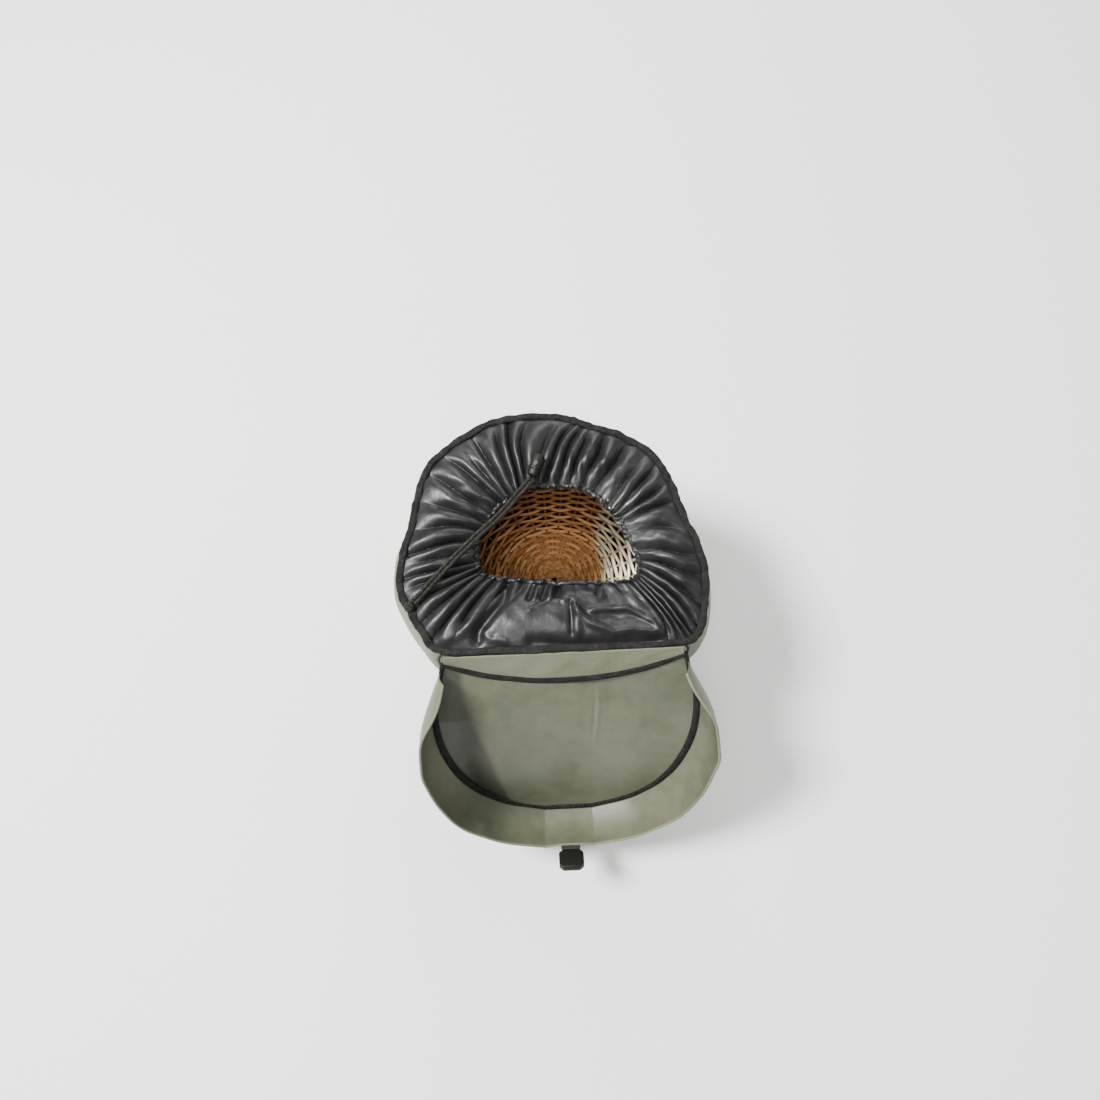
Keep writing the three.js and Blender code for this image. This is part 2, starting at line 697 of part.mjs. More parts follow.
// The lid's wall stands off the seam, leans inward and bows outward between its two edges.
function lidWallAt(around, above) {
  const { across, down } = lidSeamAt(around);
  const lean = THREE.MathUtils.degToRad(lidLeanAt(around));
  const share = lidWallHeightAt(around);
  const rise = mix(seamClear, lidWallHeight * share, above);
  const bow = lidWallBow * share * Math.sin(Math.PI * above);
  const middle = lidAt(0, Math.min(panelMiddle, down));
  const normal = lidNormal(down);
  const inward = middle.sub(lidAt(across, down));
  inward.addScaledVector(normal, -inward.dot(normal)).normalize();
  return lidAt(across, down)
    .addScaledVector(normal, rise * Math.cos(lean) + bow * Math.sin(lean))
    .addScaledVector(inward, rise * Math.sin(lean) - bow * Math.cos(lean));
}

const lidWallBody = () => sheetBody(
  (u, v) => lidWallAt(mix(wallOpening, 1 - wallOpening, u), v),
  { columns: 44, rows: 3, wall: lidWall },
);

function lidBinding() {
  const alongSides = evenly(55, lidSeamAt);
  const alongHinge = evenly(12, (share) => ({ across: mix(1, -1, share), down: 0 })).slice(1, -1);
  const points = [...alongSides, ...alongHinge].map(({ across, down }) => lidAt(across, down));
  return loftBody(points.map((point, k) => {
    const before = points.at(k - 1);
    const after = points[(k + 1) % points.length];
    const along = after.clone().sub(before).normalize();
    const facing = lidNormal(0.5);
    const across = along.clone().cross(facing).normalize();
    return ovalRing(point, across, across.clone().cross(along), seamBinding, seamBinding, seamSides);
  }), true);
}

const hingeGusset = () => sheetBody((u, v) => {
  const across = mix(-gussetSpan, gussetSpan, u);
  const seam = lidAt(across, 0);
  const top = vector(seam.x, hingeY, rimHeight + bindingHeight / 4);
  const share = 1 - seamClear / top.distanceTo(seam);
  return top.lerp(seam, v * share);
}, { columns: 16, rows: 2, wall: gussetWall });

// Shoulder straps
const strapReachAt = tableCurve(strapRows, 'drop', 'reach');
const sideways = vector(1, 0);

function strapPlace(side, drop) {
  return vector(
    side * mix(strapTopX, strapEndX, drop),
    backFace - seamGap - strapPad / 2 - strapReachAt(drop) * strapReach,
    strapTopZ - drop * strapDrop,
  );
}

const curveThrough = (places) => new THREE.CatmullRomCurve3(places);

// The stations of a strip along a curve, with its face square to its run and to its side.
function stationsAlong(curve, steps, side = sideways) {
  return evenly(steps, (share) => {
    const along = curve.getTangent(share);
    const face = along.clone().cross(side).normalize();
    return { middle: curve.getPoint(share), side: face.clone().cross(along), face };
  });
}

const strapCurve = (side) => curveThrough(evenly(12, (drop) => strapPlace(side, drop)));
const shoulderStrap = (side) => stripBody(stationsAlong(strapCurve(side), 12), strapWidth, strapPad);

// The strap's lower end, and the direction in which it leaves off.
const strapEnd = (side) => ({
  end: strapCurve(side).getPoint(1),
  along: strapCurve(side).getTangent(1),
});

// Puts a flat body's X and Y along two directions at a place.
const standing = (place, across, along) => new THREE.Matrix4()
  .makeBasis(across, along, across.clone().cross(along)).setPosition(place);

// The corners of a level rectangle, centred across.
const rectangle = (width, low, high) => [[-width / 2, low], [width / 2, low], [width / 2, high],
  [-width / 2, high]].map(([x, y]) => new THREE.Vector2(x, y));

function strapAdjuster(side) {
  const { end, along } = strapEnd(side);
  const frame = new THREE.Shape(rectangle(adjusterWidth, 0, adjusterLength));
  const slotWidth = adjusterWidth - 2 * adjusterBar;
  const slotLength = (adjusterLength - 3 * adjusterBar) / 2;
  for (const low of [adjusterBar, 2 * adjusterBar + slotLength]) {
    frame.holes.push(new THREE.Path(rectangle(slotWidth, low, low + slotLength).reverse()));
  }
  const body = new THREE.ExtrudeGeometry(frame, { depth: adjusterWall, bevelEnabled: false });
  body.translate(0, 0, -adjusterWall / 2);
  const face = along.clone().cross(sideways).normalize();
  const across = along.clone().cross(face).normalize();
  const place = end.addScaledVector(along, seamGap);
  return body.applyMatrix4(standing(place, across, along));
}

function strapWebbing(side) {
  const { end, along } = strapEnd(side);
  const start = end.clone().addScaledVector(along, adjusterLength + 2 * seamGap);
  const foot = vector(side * webbingEndX, backFace - 2 * seamGap - webbingWall / 2, webbingEndZ);
  const run = new THREE.CubicBezierCurve3(
    start, start.clone().addScaledVector(along, webbingBend),
    foot.clone().addScaledVector(up, webbingBend), foot,
  );
  return stripBody(stationsAlong(run, 8), webbingWidth, webbingWall);
}

// Haul loop, a webbing bow that stands off the back panel
function haulLoop() {
  const low = backFace - seamGap - webbingWall / 2;
  const bow = curveThrough(evenly(12, (share) => vector(
    mix(-loopSpan / 2, loopSpan / 2, share),
    low - loopReach * Math.sin(Math.PI * share) ** loopFlare,
    loopZ,
  )));
  return stripBody(stationsAlong(bow, 12, up), webbingWidth, webbingWall);
}

// Closure: a webbing strap with a buckle on the front wall, and one on the lid's far wall
function frontStrapPlace(height) {
  const out = levelNormal(shellAt, 0, height);
  return shellAt(0, height).addScaledVector(out, (clothWall + webbingWall) / 2 + frontStrapClear);
}

const frontStrapCurve = () => curveThrough(evenly(8, (share) => (
  frontStrapPlace(mix(frontStrapLow, frontStrapHigh, share))
)));
const frontStrap = () => stripBody(stationsAlong(frontStrapCurve(), 8), webbingWidth, webbingWall);

// The lid's strap lies on the outer face of the far wall, and reaches past its free edge.
function lidStrapPlace(above) {
  const normal = surfaceNormal(lidWallAt, 0.5, Math.min(1, above));
  const out = normal.multiplyScalar(Math.sign(-normal.y) || 1);
  return lidWallAt(0.5, above).addScaledVector(out, (lidWall + webbingWall) / 2 + lidStrapClear);
}

const lidStrapCurve = () => curveThrough(evenly(4, (share) => (
  lidStrapPlace(mix(lidStrapLow, lidStrapHigh, share))
)));
const lidStrap = () => stripBody(stationsAlong(lidStrapCurve(), 4), webbingWidth, webbingWall);

// A buckle at the end of a strap, in line with it.
function buckleAt(curve) {
  const [half, length, corner] = [buckleWidth / 2, buckleLength, buckleCorner];
  const outline = new THREE.Shape([
    [corner - half, 0], [half - corner, 0], [half, corner], [half, length - corner],
    [half - corner, length], [corner - half, length], [-half, length - corner], [-half, corner],
  ].map(([x, y]) => new THREE.Vector2(x, y)));
  const body = new THREE.ExtrudeGeometry(outline, { depth: buckleWall, bevelEnabled: false });
  body.translate(0, seamGap, -webbingWall / 2);
  const along = curve.getTangent(1);
  const face = along.clone().cross(sideways).normalize();
  const across = along.clone().cross(face).normalize();
  const place = curve.getPoint(1);
  const facesOut = across.clone().cross(along).y * place.y > 0;
  return body.applyMatrix4(standing(place, facesOut ? across : across.negate(), along));
}

const group = new THREE.Group();

function add(name, geometry, finish) {
  const material = new THREE.MeshStandardMaterial({ metalness: 0, ...materials[finish] });
  const mesh = new THREE.Mesh(geometry, material);
  mesh.name = name;
  group.add(mesh);
}

add('front_wall', frontWall(), 'oliveCloth');
add('back_panel', backPanel(), 'oliveCloth');
add('bottom_panel', bottomPanel(), 'oliveCloth');
add('rim_binding', rimBinding(), 'blackBinding');
add('collar', collar(), 'blackNylon');
add('collar_hem', collarHem(), 'blackNylon');
add('drawcord_left', cordStrand(-1), 'cord');
add('drawcord_right', cordStrand(1), 'cord');
add('cord_lock', cordLock(), 'plastic');
add('lock_button', lockButton(), 'metal');
add('cord_knot', cordKnot(), 'cord');
add('basket_wall', basketWallBody(), 'willow');
add('basket_bowl', basketBowl(), 'willow');
add('basket_floor', basketFloor(), 'willow');
add('basket_rim', basketRim(), 'willow');
add('hinge_gusset', hingeGusset(), 'oliveCloth');
add('lid_panel', lidPanel(), 'oliveCoating');
add('lid_wall', lidWallBody(), 'oliveCoating');
add('lid_binding', lidBinding(), 'blackBinding');
for (const [name, side] of [['left', -1], ['right', 1]]) {
  add(`shoulder_strap_${name}`, shoulderStrap(side), 'oliveCloth');
  add(`strap_adjuster_${name}`, strapAdjuster(side), 'plastic');
  add(`strap_webbing_${name}`, strapWebbing(side), 'blackBinding');
}
add('haul_loop', haulLoop(), 'blackBinding');
add('front_strap', frontStrap(), 'blackBinding');
add('front_buckle', buckleAt(frontStrapCurve()), 'plastic');
add('lid_strap', lidStrap(), 'blackBinding');
add('lid_buckle', buckleAt(lidStrapCurve()), 'plastic');

export default group;
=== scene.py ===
import math

import bmesh
import bpy
import numpy as np
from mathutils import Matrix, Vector


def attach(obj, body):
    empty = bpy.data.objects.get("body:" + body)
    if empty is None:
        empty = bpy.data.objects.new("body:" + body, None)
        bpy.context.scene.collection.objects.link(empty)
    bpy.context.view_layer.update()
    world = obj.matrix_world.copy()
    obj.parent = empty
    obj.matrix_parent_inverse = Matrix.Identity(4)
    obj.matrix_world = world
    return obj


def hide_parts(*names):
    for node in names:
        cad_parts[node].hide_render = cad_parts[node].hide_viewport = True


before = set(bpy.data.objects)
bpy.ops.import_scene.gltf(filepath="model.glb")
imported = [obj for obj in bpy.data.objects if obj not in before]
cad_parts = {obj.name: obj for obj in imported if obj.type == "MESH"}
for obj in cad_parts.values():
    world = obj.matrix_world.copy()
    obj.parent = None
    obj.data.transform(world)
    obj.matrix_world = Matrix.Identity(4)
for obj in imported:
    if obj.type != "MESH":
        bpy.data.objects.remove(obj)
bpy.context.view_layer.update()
mm = 0.001
fullTurn = 2 * math.pi
random = np.random.default_rng(7)


# Adds an object to the scene. With an aim it looks from its place to there.
def sceneObject(name, data, place=(0, 0, 0), aim=None):
    obj = bpy.data.objects.new(name, data)
    bpy.context.scene.collection.objects.link(obj)
    obj.location = place
    if aim:
        obj.rotation_euler = (Vector(aim) - Vector(place)).to_track_quat("-Z", "Y").to_euler()
    return obj


# Camera. It looks down into the mouth from the wearer's side.
camera = {
    "place": (-0.016, -0.347, 1.245),
    "target": (0.0, -0.005, 0.305),
    "lens": 27.16,
    "shift": (-7 / 1100, -16 / 1100),
}
cameraData = bpy.data.cameras.new("camera")
cameraData.lens = camera["lens"]
cameraData.sensor_width = 36
cameraData.shift_x, cameraData.shift_y = camera["shift"]
bpy.context.scene.camera = sceneObject("camera", cameraData, camera["place"], camera["target"])


# A closed curve through points, read at turns from 0 to 1. With the four points a, b, c and d round
# the place, p = (2b + (c - a)t + (2a - 5b + 4c - d)t^2 + (3b - a - 3c + d)t^3) / 2.
def loopCurve(points, turn):
    count = len(points)
    place = np.mod(turn, 1) * count
    first = np.floor(place).astype(int)
    t = (place - first)[..., None]
    a, b, c, d = (points[(first + step) % count] for step in (-1, 0, 1, 2))
    return (2 * b + (c - a) * t + (2 * a - 5 * b + 4 * c - d) * t**2 + (3 * b - a - 3 * c + d) * t**3) / 2


# A smooth open curve through a table's values, with the mean of the two slopes at each row.
def tableCurve(places, values, at):
    places, values = np.asarray(places, float), np.asarray(values, float)
    slopes = np.gradient(values, places, axis=0)
    at = np.clip(at, places[0], places[-1])
    k = np.clip(np.searchsorted(places, at, side="right") - 1, 0, len(places) - 2)
    gap = places[k + 1] - places[k]
    t = (at - places[k]) / gap
    if values.ndim > 1:
        gap, t = gap[..., None], t[..., None]
    return (values[k] * (2 * t**3 - 3 * t**2 + 1) + slopes[k] * gap * (t**3 - 2 * t**2 + t)
            + values[k + 1] * (3 * t**2 - 2 * t**3) + slopes[k + 1] * gap * (t**3 - t**2))


def smoothStep(low, high, value):
    t = np.clip((value - low) / (high - low), 0, 1)
    return t * t * (3 - 2 * t)


def unit(vectors):
    return vectors / np.maximum(np.linalg.norm(vectors, axis=-1, keepdims=True), 1e-12)


# Soft irregular waves: the mean of sines a_i sin(2 pi (m_i u + n_i v + p_i)), with whole m_i so that
# they close round u.
def waves(u, v, highestU, highestV, terms=14, lowestU=1, seed=1):
    pick = np.random.default_rng(seed)
    total = 0
    for _ in range(terms):
        m = pick.integers(lowestU, highestU + 1)
        n = pick.uniform(-highestV, highestV)
        total = total + np.sin(fullTurn * (m * u + n * v + pick.random()))
    return total / math.sqrt(terms)


# Values for each body, each ring or each point of a grid, shaped to spread over all its points.
def shaped(values, bodies, along):
    values = np.asarray(values)
    perBody = values.size // bodies
    rings = along if perBody > 1 else 1
    return values.reshape(bodies, rings, perBody // rings)


# A mesh from grids of points, shaped bodies x along x round x 3. The grid closes on itself round,
# and along too where loop is set; open ends are capped straight across. Its UV map is in metres.
def gridObject(name, points, loop=False, tone=None, paintedShade=None):
    points = np.asarray(points, float)
    if points.ndim == 3:
        points = points[None]
    bodies, along, around, _ = points.shape
    i = np.arange(along if loop else along - 1)
    i, j = (grid.ravel() for grid in np.meshgrid(i, np.arange(around), indexing="ij"))
    nextI, nextJ = i + 1, j + 1
    corners = [(i, j), (nextI, j), (nextI, nextJ), (i, nextJ)]
    faces = np.stack([a % along * around + b % around for a, b in corners], 1)
    gaps = np.linalg.norm(np.diff(np.concatenate([points, points[:, :1]], 1), axis=1), axis=-1)
    runs = np.linalg.norm(np.diff(np.concatenate([points, points[:, :, :1]], 2), axis=2), axis=-1)
    u = np.concatenate([np.zeros((bodies, 1)), np.cumsum(gaps.mean(2), 1)], 1)
    v = np.concatenate([np.zeros((bodies, 1)), np.cumsum(runs.mean(1), 1)], 1)
    uv = np.stack([np.stack([u[:, a], v[:, b]], -1) for a, b in corners], 2)
    if not loop:
        half = np.arange(around // 2 - 1)
        for row, turned in ((0, False), (along - 1, True)):
            cap = np.stack([half, half + 1, around - 2 - half, around - 1 - half], 1) + row * around
            faces = np.concatenate([faces, cap[:, ::-1] if turned else cap])
            uv = np.concatenate([uv, np.zeros((bodies, len(cap), 4, 2))], 1)
    flat = points[0].reshape(-1, 3)
    a, b, c, d = (flat[faces[:, k]] for k in range(4))
    volume = (a * np.cross(b, c)).sum() + (a * np.cross(c, d)).sum()
    if volume < 0:
        faces, uv = faces[:, ::-1], uv[:, :, ::-1]
    allFaces = (faces[None] + (np.arange(bodies) * along * around)[:, None, None]).reshape(-1, 4)
    mesh = bpy.data.meshes.new(name)
    mesh.from_pydata(points.reshape(-1, 3), [], allFaces)
    mesh.uv_layers.new(name="UVMap").uv.foreach_set("vector", uv.reshape(-1).astype(np.float32))
    # The second attribute holds painted shade: a share by which the material darkens each point as if it lay
    # in shade.
    for label, values in (("tone", tone), ("paintedShade", paintedShade)):
        if values is not None:
            spread = np.broadcast_to(shaped(values, bodies, along), (bodies, along, around))
            layer = mesh.attributes.new(label, "FLOAT", "POINT")
            layer.data.foreach_set("value", spread.ravel().astype(np.float32))
    mesh.shade_smooth()
    return sceneObject(name, mesh)


def tangents(path, loop=False, axis=-2):
    if loop:
        return unit(np.roll(path, -1, axis) - np.roll(path, 1, axis))
    return unit(np.gradient(path, axis=axis))


# A cloth sheet of one thickness with its middle on a grid of points.
def sheetObject(name, points, wall, loop=False, paintedShade=None):
    normals = unit(np.cross(tangents(points, loop, 0), np.gradient(points, axis=1)))
    offset = normals * wall / 2
    rounded = np.concatenate([points + offset, (points - offset)[:, ::-1]], 1)
    # The painted shade is kept the same on both faces of the sheet.
    if paintedShade is not None:
        paintedShade = np.concatenate([paintedShade, paintedShade[:, ::-1]], 1)
    return gridObject(name, rounded, loop=loop, paintedShade=paintedShade)


# Rings round a path: centre + across cos(a) width/2 + above sin(a) height/2. A power over 1 makes
# the section squarer. Across and above may be one direction each or one for every point.
def tubePoints(path, across, above, width, height, sides, power=1.0):
    angle = fullTurn * (np.arange(sides) + 0.5) / sides
    c = np.sign(np.cos(angle)) * np.abs(np.cos(angle)) ** (1 / power)
    s = np.sign(np.sin(angle)) * np.abs(np.sin(angle)) ** (1 / power)
    width = np.broadcast_to(np.asarray(width, float), path.shape[:-1])[..., None, None]
    height = np.broadcast_to(np.asarray(height, float), path.shape[:-1])[..., None, None]
    return (path[..., None, :] + across[..., None, :] * c[:, None] * width / 2
            + above[..., None, :] * s[:, None] * height / 2)


def roundTube(path, across, along, diameter, sides):
    return tubePoints(path, across, np.cross(across, along), diameter, diameter, sides)


# Materials. A Value is one output of a shader tree; arithmetic on it makes Math nodes.
class Value:
    def __init__(self, tree, socket=None):
        self.tree = tree
        self.socket = socket

    def node(self, kind, settings=None, sockets=None, output=0):
        made = self.tree.nodes.new(kind)
        for name, setting in (settings or {}).items():
            setattr(made, name, setting)
        for name, value in (sockets or {}).items():
            if isinstance(value, Value):
                self.tree.links.new(value.socket, made.inputs[name])
            else:
                made.inputs[name].default_value = value
        return Value(self.tree, made.outputs[output])

    def math(self, operation, first, second=0.0):
        return self.node("ShaderNodeMath", {"operation": operation}, {0: first, 1: second})

    def __add__(self, other):
        return self.math("ADD", self, other)

    def __radd__(self, other):
        return self.math("ADD", other, self)

    def __sub__(self, other):
        return self.math("SUBTRACT", self, other)

    def __rsub__(self, other):
        return self.math("SUBTRACT", other, self)

    def __mul__(self, other):
        return self.math("MULTIPLY", self, other)

    def __rmul__(self, other):
        return self.math("MULTIPLY", other, self)

    def sine(self):
        return self.math("SINE", self)

    def between(self, low, high):
        sockets = {"Value": self, "From Min": low, "From Max": high}
        return self.node("ShaderNodeMapRange", {"interpolation_type": "SMOOTHSTEP"}, sockets)

    def mix(self, first, second):
        return self.node("ShaderNodeMix", {"data_type": "RGBA"}, {0: self, 6: first, 7: second}, 2)

    def noise(self, coords, scale, detail=3.0, roughness=0.5):
        sockets = {"Vector": coords, "Scale": scale, "Detail": detail, "Roughness": roughness}
        return self.node("ShaderNodeTexNoise", {}, sockets)

    def attribute(self, name):
        return self.node("ShaderNodeAttribute", {"attribute_name": name}, {}, "Fac")

    def stretched(self, coords, factors):
        return self.node("ShaderNodeVectorMath", {"operation": "MULTIPLY"}, {0: coords, 1: factors})

    def parts(self, coords):
        split = self.node("ShaderNodeSeparateXYZ", {}, {0: coords}).socket.node
        return [Value(self.tree, output) for output in split.outputs]


def colour(red, green, blue):
    return (red, green, blue, 1.0)


# A material with its constants on the shader. paint(value, coords, uv) returns what varies: a
# dictionary of the shader's inputs, and "height" in metres for the bump.
def material(name, constants, paint=None):
    made = bpy.data.materials.new(name)
    made.use_nodes = True
    tree = made.node_tree
    shader = tree.nodes["Principled BSDF"]
    for socket, value in constants.items():
        shader.inputs[socket].default_value = value
    if paint:
        value = Value(tree)
        coords = value.node("ShaderNodeTexCoord", {}, {}, "Object")
        uv = value.node("ShaderNodeUVMap", {"uv_map": "UVMap"})
        varying = paint(value, coords, uv)
        height = varying.pop("height", None)
        if height:
            sockets = {"Height": height, "Distance": 1.0, "Strength": 1.0}
            varying["Normal"] = value.node("ShaderNodeBump", {}, sockets)
        for socket, source in varying.items():
            tree.links.new(source.socket, shader.inputs[socket])
    return made


# Woven threads in UV metres: sin(2 pi u / pitch) sin(2 pi v / pitch).
def weave(uv, pitch):
    u, v, _ = uv.parts(uv)
    turns = fullTurn / pitch
    return (u * turns).sine() * (v * turns).sine()


def nylonPaint(value, coords, uv):
    broad = value.noise(coords, 9, 4)
    crease = value.noise(coords, 45, 3, 0.6)
    shade = (broad * 0.7 + crease * 0.3).between(0.3, 0.75)
    dark, light = colour(0.005, 0.005, 0.0055), colour(0.016, 0.0155, 0.016)
    return {
        "Base Color": shade.mix(dark, light),
        "Roughness": crease.between(0.2, 0.8) * 0.1 + 0.38,
        "height": crease * 0.0009 + value.noise(coords, 300, 2) * 0.0002,
    }


def tapePaint(value, coords, uv):
    rib = weave(uv, 0.0022)
    wear = value.noise(coords, 300, 2)
    patch = value.noise(coords, 70, 3)
    dark, light = colour(0.002, 0.002, 0.0018), colour(0.026, 0.026, 0.023)
    return {
        "Base Color": (rib * 0.2 + wear * 0.6 + patch * 0.4).between(0.35, 0.85).mix(dark, light),
        "height": rib * 0.00018 + wear * 0.0003 + patch * 0.0012,
    }


def clothPaint(dark, light, grain):
    def paint(value, coords, uv):
        broad = value.noise(coords, 7, 4)
        fine = value.noise(coords, 220, 2)
        return {
            "Base Color": (broad * 0.75 + fine * 0.25).between(0.3, 0.7).mix(dark, light),
            "height": weave(uv, 0.0014) * grain + value.noise(coords, 25, 3) * 0.0006,
        }
    return paint


def coatingPaint(value, coords, uv):
    broad = value.noise(coords, 6, 3)
    fine = value.noise(coords, 60, 4)
    dark, light = colour(0.066, 0.074, 0.044), colour(0.118, 0.122, 0.078)
    paintedShade = value.attribute("paintedShade")
    coated = (broad * 0.7 + fine * 0.3).between(0.3, 0.7).mix(dark, light)
    return {
        # Painted shadow: where the painted-shade attribute is set, the coating is mixed towards near-black
        # olive.
        "Base Color": (paintedShade * 0.85).mix(coated, colour(0.022, 0.023, 0.015)),
        "Roughness": fine * 0.2 + 0.36,
        "height": broad * 0.004 + fine * 0.0003,
    }


# Pale zone of the rods, a painted pool of light: it starts and ends at these places of a point along the
# direction, in metres.
paintedLightPool = {"direction": (1.0, 0.12, -0.2), "start": 0.058, "end": 0.074}


def willowPaint(value, coords, uv):
    tone = value.attribute("tone")
    grain = value.noise(value.stretched(uv, (25.0, 900.0, 1.0)), 1.0, 3)
    blotch = value.noise(coords, 30, 3)
    brown = (tone * 0.45 + grain * 0.25 + blotch * 0.3).between(0.2, 0.8)
    warm = brown.mix(colour(0.46, 0.19, 0.045), colour(0.84, 0.46, 0.19))
    sockets = {0: coords, 1: paintedLightPool["direction"]}
    reach = value.node("ShaderNodeVectorMath", {"operation": "DOT_PRODUCT"}, sockets, "Value")
    # Painted light: past the zone's start the rods turn pale cream, as if lit by a pool of light.
    paintedLightMask = (reach + (blotch - 0.5) * 0.02).between(paintedLightPool["start"], paintedLightPool["end"])
    litCream = brown.mix(colour(0.88, 0.78, 0.50), colour(1.0, 0.93, 0.70))
    # Painted shade: the attribute mixes the willow towards dark brown, as if shaded behind the weave.
    paintedShade = value.attribute("paintedShade")
    shade = paintedShade.between(0.35, 1.0) * 0.8
    return {
        "Base Color": shade.mix(paintedLightMask.mix(warm, litCream), colour(0.05, 0.02, 0.008)),
        "Roughness": grain * 0.2 + 0.42,
        "height": grain * 0.0004,
    }


def braidPaint(value, coords, uv):
    u, v, _ = uv.parts(uv)
    lengthwise, roundwise = u * (fullTurn / 0.0034), v * (fullTurn / 0.0035)
    strand = (lengthwise + roundwise).sine() * (lengthwise - roundwise).sine()
    speck = value.noise(coords, 420, 2)
    dark, light = colour(0.003, 0.003, 0.0025), colour(0.085, 0.08, 0.062)
    return {
        "Base Color": (strand * 0.35 + speck).between(0.5, 0.95).mix(dark, light),
        "height": strand * 0.0003,
    }


def webbingPaint(value, coords, uv):
    u, v, _ = uv.parts(uv)
    rib = (u * (fullTurn / 0.0018)).sine() * 0.6 + (v * (fullTurn / 0.0026)).sine() * 0.4
    dark, light = colour(0.006, 0.006, 0.0055), colour(0.022, 0.022, 0.02)
    return {
        "Base Color": rib.between(-1.0, 1.0).mix(dark, light),
        "height": rib * 0.00015,
    }


looks = {
    "nylon": ({"Roughness": 0.43, "Specular IOR Level": 0.42}, nylonPaint),
    "tape": ({"Roughness": 0.85, "Specular IOR Level": 0.25}, tapePaint),
    "cloth": ({"Roughness": 0.75, "Sheen Weight": 0.15},
              clothPaint(colour(0.095, 0.103, 0.054), colour(0.17, 0.176, 0.104), 0.00012)),
    # Near-black lining, made this dark also to stand in for the shade seen through the weave.
    "innerCloth": ({"Roughness": 0.6},
                   clothPaint(colour(0.008, 0.008, 0.007), colour(0.016, 0.016, 0.014), 0.0001)),
    "coating": ({"Roughness": 0.45, "Specular IOR Level": 0.5}, coatingPaint),
    "willow": ({"Roughness": 0.5, "Specular IOR Level": 0.45}, willowPaint),
    "braid": ({"Roughness": 0.75, "Specular IOR Level": 0.25}, braidPaint),
    "webbing": ({"Roughness": 0.7}, webbingPaint),
    "plastic": ({"Base Color": colour(0.007, 0.007, 0.005), "Roughness": 0.5, "Specular IOR Level": 0.3},),
    "metal": ({"Base Color": colour(0.16, 0.16, 0.15), "Metallic": 1.0, "Roughness": 0.35},),
}
materials = {name: material(name, *look) for name, look in looks.items()}


# Fits a finished object with its material and its place in the frame.
def finish(obj, look, slot, *nodes):
    obj.data.materials.clear()
    obj.data.materials.append(materials[look])
    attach(obj, "root")
    if nodes:
        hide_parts(*nodes)
    return obj


print("stage: frame, camera and materials")

# Drawcord, and the lock that it comes out of. The route midway between the two strands is the one
# that the frame's strands follow.
cord = {"diameter": 4.5 * mm, "spacing": 4.9 * mm, "lead": 5 * mm, "gap": 0.3 * mm, "sides": 16, "steps": 420}
lock = {
    "place": np.array([-21.8, 75.8, 327.5]) * mm, "heading": unit(np.array([-0.37, -0.92, -0.13])),
    "length": 29 * mm, "diameter": 16 * mm,
    "along": [-0.5, -0.495, -0.47, -0.4, -0.2, 0.0, 0.15, 0.17, 0.2, 0.22, 0.4, 0.46, 0.495, 0.5],
    "radius": [0.0, 0.6, 0.8, 0.93, 1.0, 1.0, 0.98, 0.86, 0.86, 0.97, 0.84, 0.7, 0.5, 0.0],
}
button = {
    "sunk": 0.4 * mm, "heading": np.array([0.05, 0.02, 0.998]),
    "along": np.array([0, 0.1, 1.4, 1.9, 2.0]) * mm, "radius": np.array([0.01, 2.9, 2.9, 2.2, 0.01]) * mm,
}
lockEnd = lock["place"] + lock["heading"] * (lock["length"] / 2 + cord["gap"])
cordRoute = np.concatenate([[lockEnd, lockEnd + lock["heading"] * cord["lead"]], mm * np.array([
    (-31.5, 56.5, 324), (-38, 49, 322.5), (-46, 41, 321), (-54, 32, 320),
    (-62, 23, 319.5), (-70, 14.5, 320), (-78, 6.5, 321), (-87, -2, 322.5),
    (-97, -12, 324), (-107, -22, 324.8), (-118, -33, 325), (-129, -44, 324),
    (-140, -55, 322), (-151, -66, 319), (-161, -76, 316.2), (-170.7, -85.3, 314.5),
])])
upward = np.array([0.0, 0.0, 1.0])
routePlaces = np.arange(len(cordRoute)) / (len(cordRoute) - 1)


def strandPath(side, steps):
    middle = tableCurve(routePlaces, cordRoute, np.linspace(0, 1, steps))
    across = unit(np.cross(tangents(middle), upward))
    return middle + across * side * cord["spacing"] / 2


strands = []
for name, side in (("left", -1), ("right", 1)):
    path = strandPath(side, cord["steps"])
    along = tangents(path)
    across = unit(np.cross(along, upward))
    rings = roundTube(path, across, along, cord["diameter"], cord["sides"])
    strand = finish(gridObject(f"cord_strand_{name}", rings), "braid", "cord", f"drawcord_{name}")
    length = float(np.linalg.norm(np.diff(path, axis=0), axis=1).sum())
    print(f"strand {name}: {length:.4f} m")
    strands.append((strand, path, length))

knot = {
    "place": np.array([-175.6, -89.8, 314.3]) * mm, "turns": 3.0, "radius": 3.6 * mm, "height": 4.4 * mm,
    "strand": (5 * mm, 4.2 * mm),
}
turnSteps = np.linspace(0, 1, 200)
knotAngle = fullTurn * knot["turns"] * turnSteps
knotRadius = knot["radius"] * (1 - 0.85 * turnSteps**4)
knotPath = knot["place"] + np.stack([
    knotRadius * np.cos(knotAngle), knotRadius * np.sin(knotAngle), knot["height"] * (turnSteps - 0.5),
], -1)
knotAcross = unit(np.stack([np.cos(knotAngle), np.sin(knotAngle), 0 * knotAngle], -1))
knotRings = tubePoints(knotPath, knotAcross, np.cross(knotAcross, tangents(knotPath)), *knot["strand"], 12)
knotObject = finish(gridObject("cord_knot_turns", knotRings), "braid", "cord", "cord_knot")


# A body turned round a direction, from a table of places along it and radii.
def turnedPoints(place, heading, along, radius, steps, sides):
    at = np.linspace(0, 1, steps)
    spots = np.linspace(0, 1, len(along))
    run, reach = np.interp(at, spots, along), np.interp(at, spots, radius)
    side = unit(np.cross(heading, upward))
    return roundTube(place + heading * run[:, None], side, heading, 2 * reach, sides)


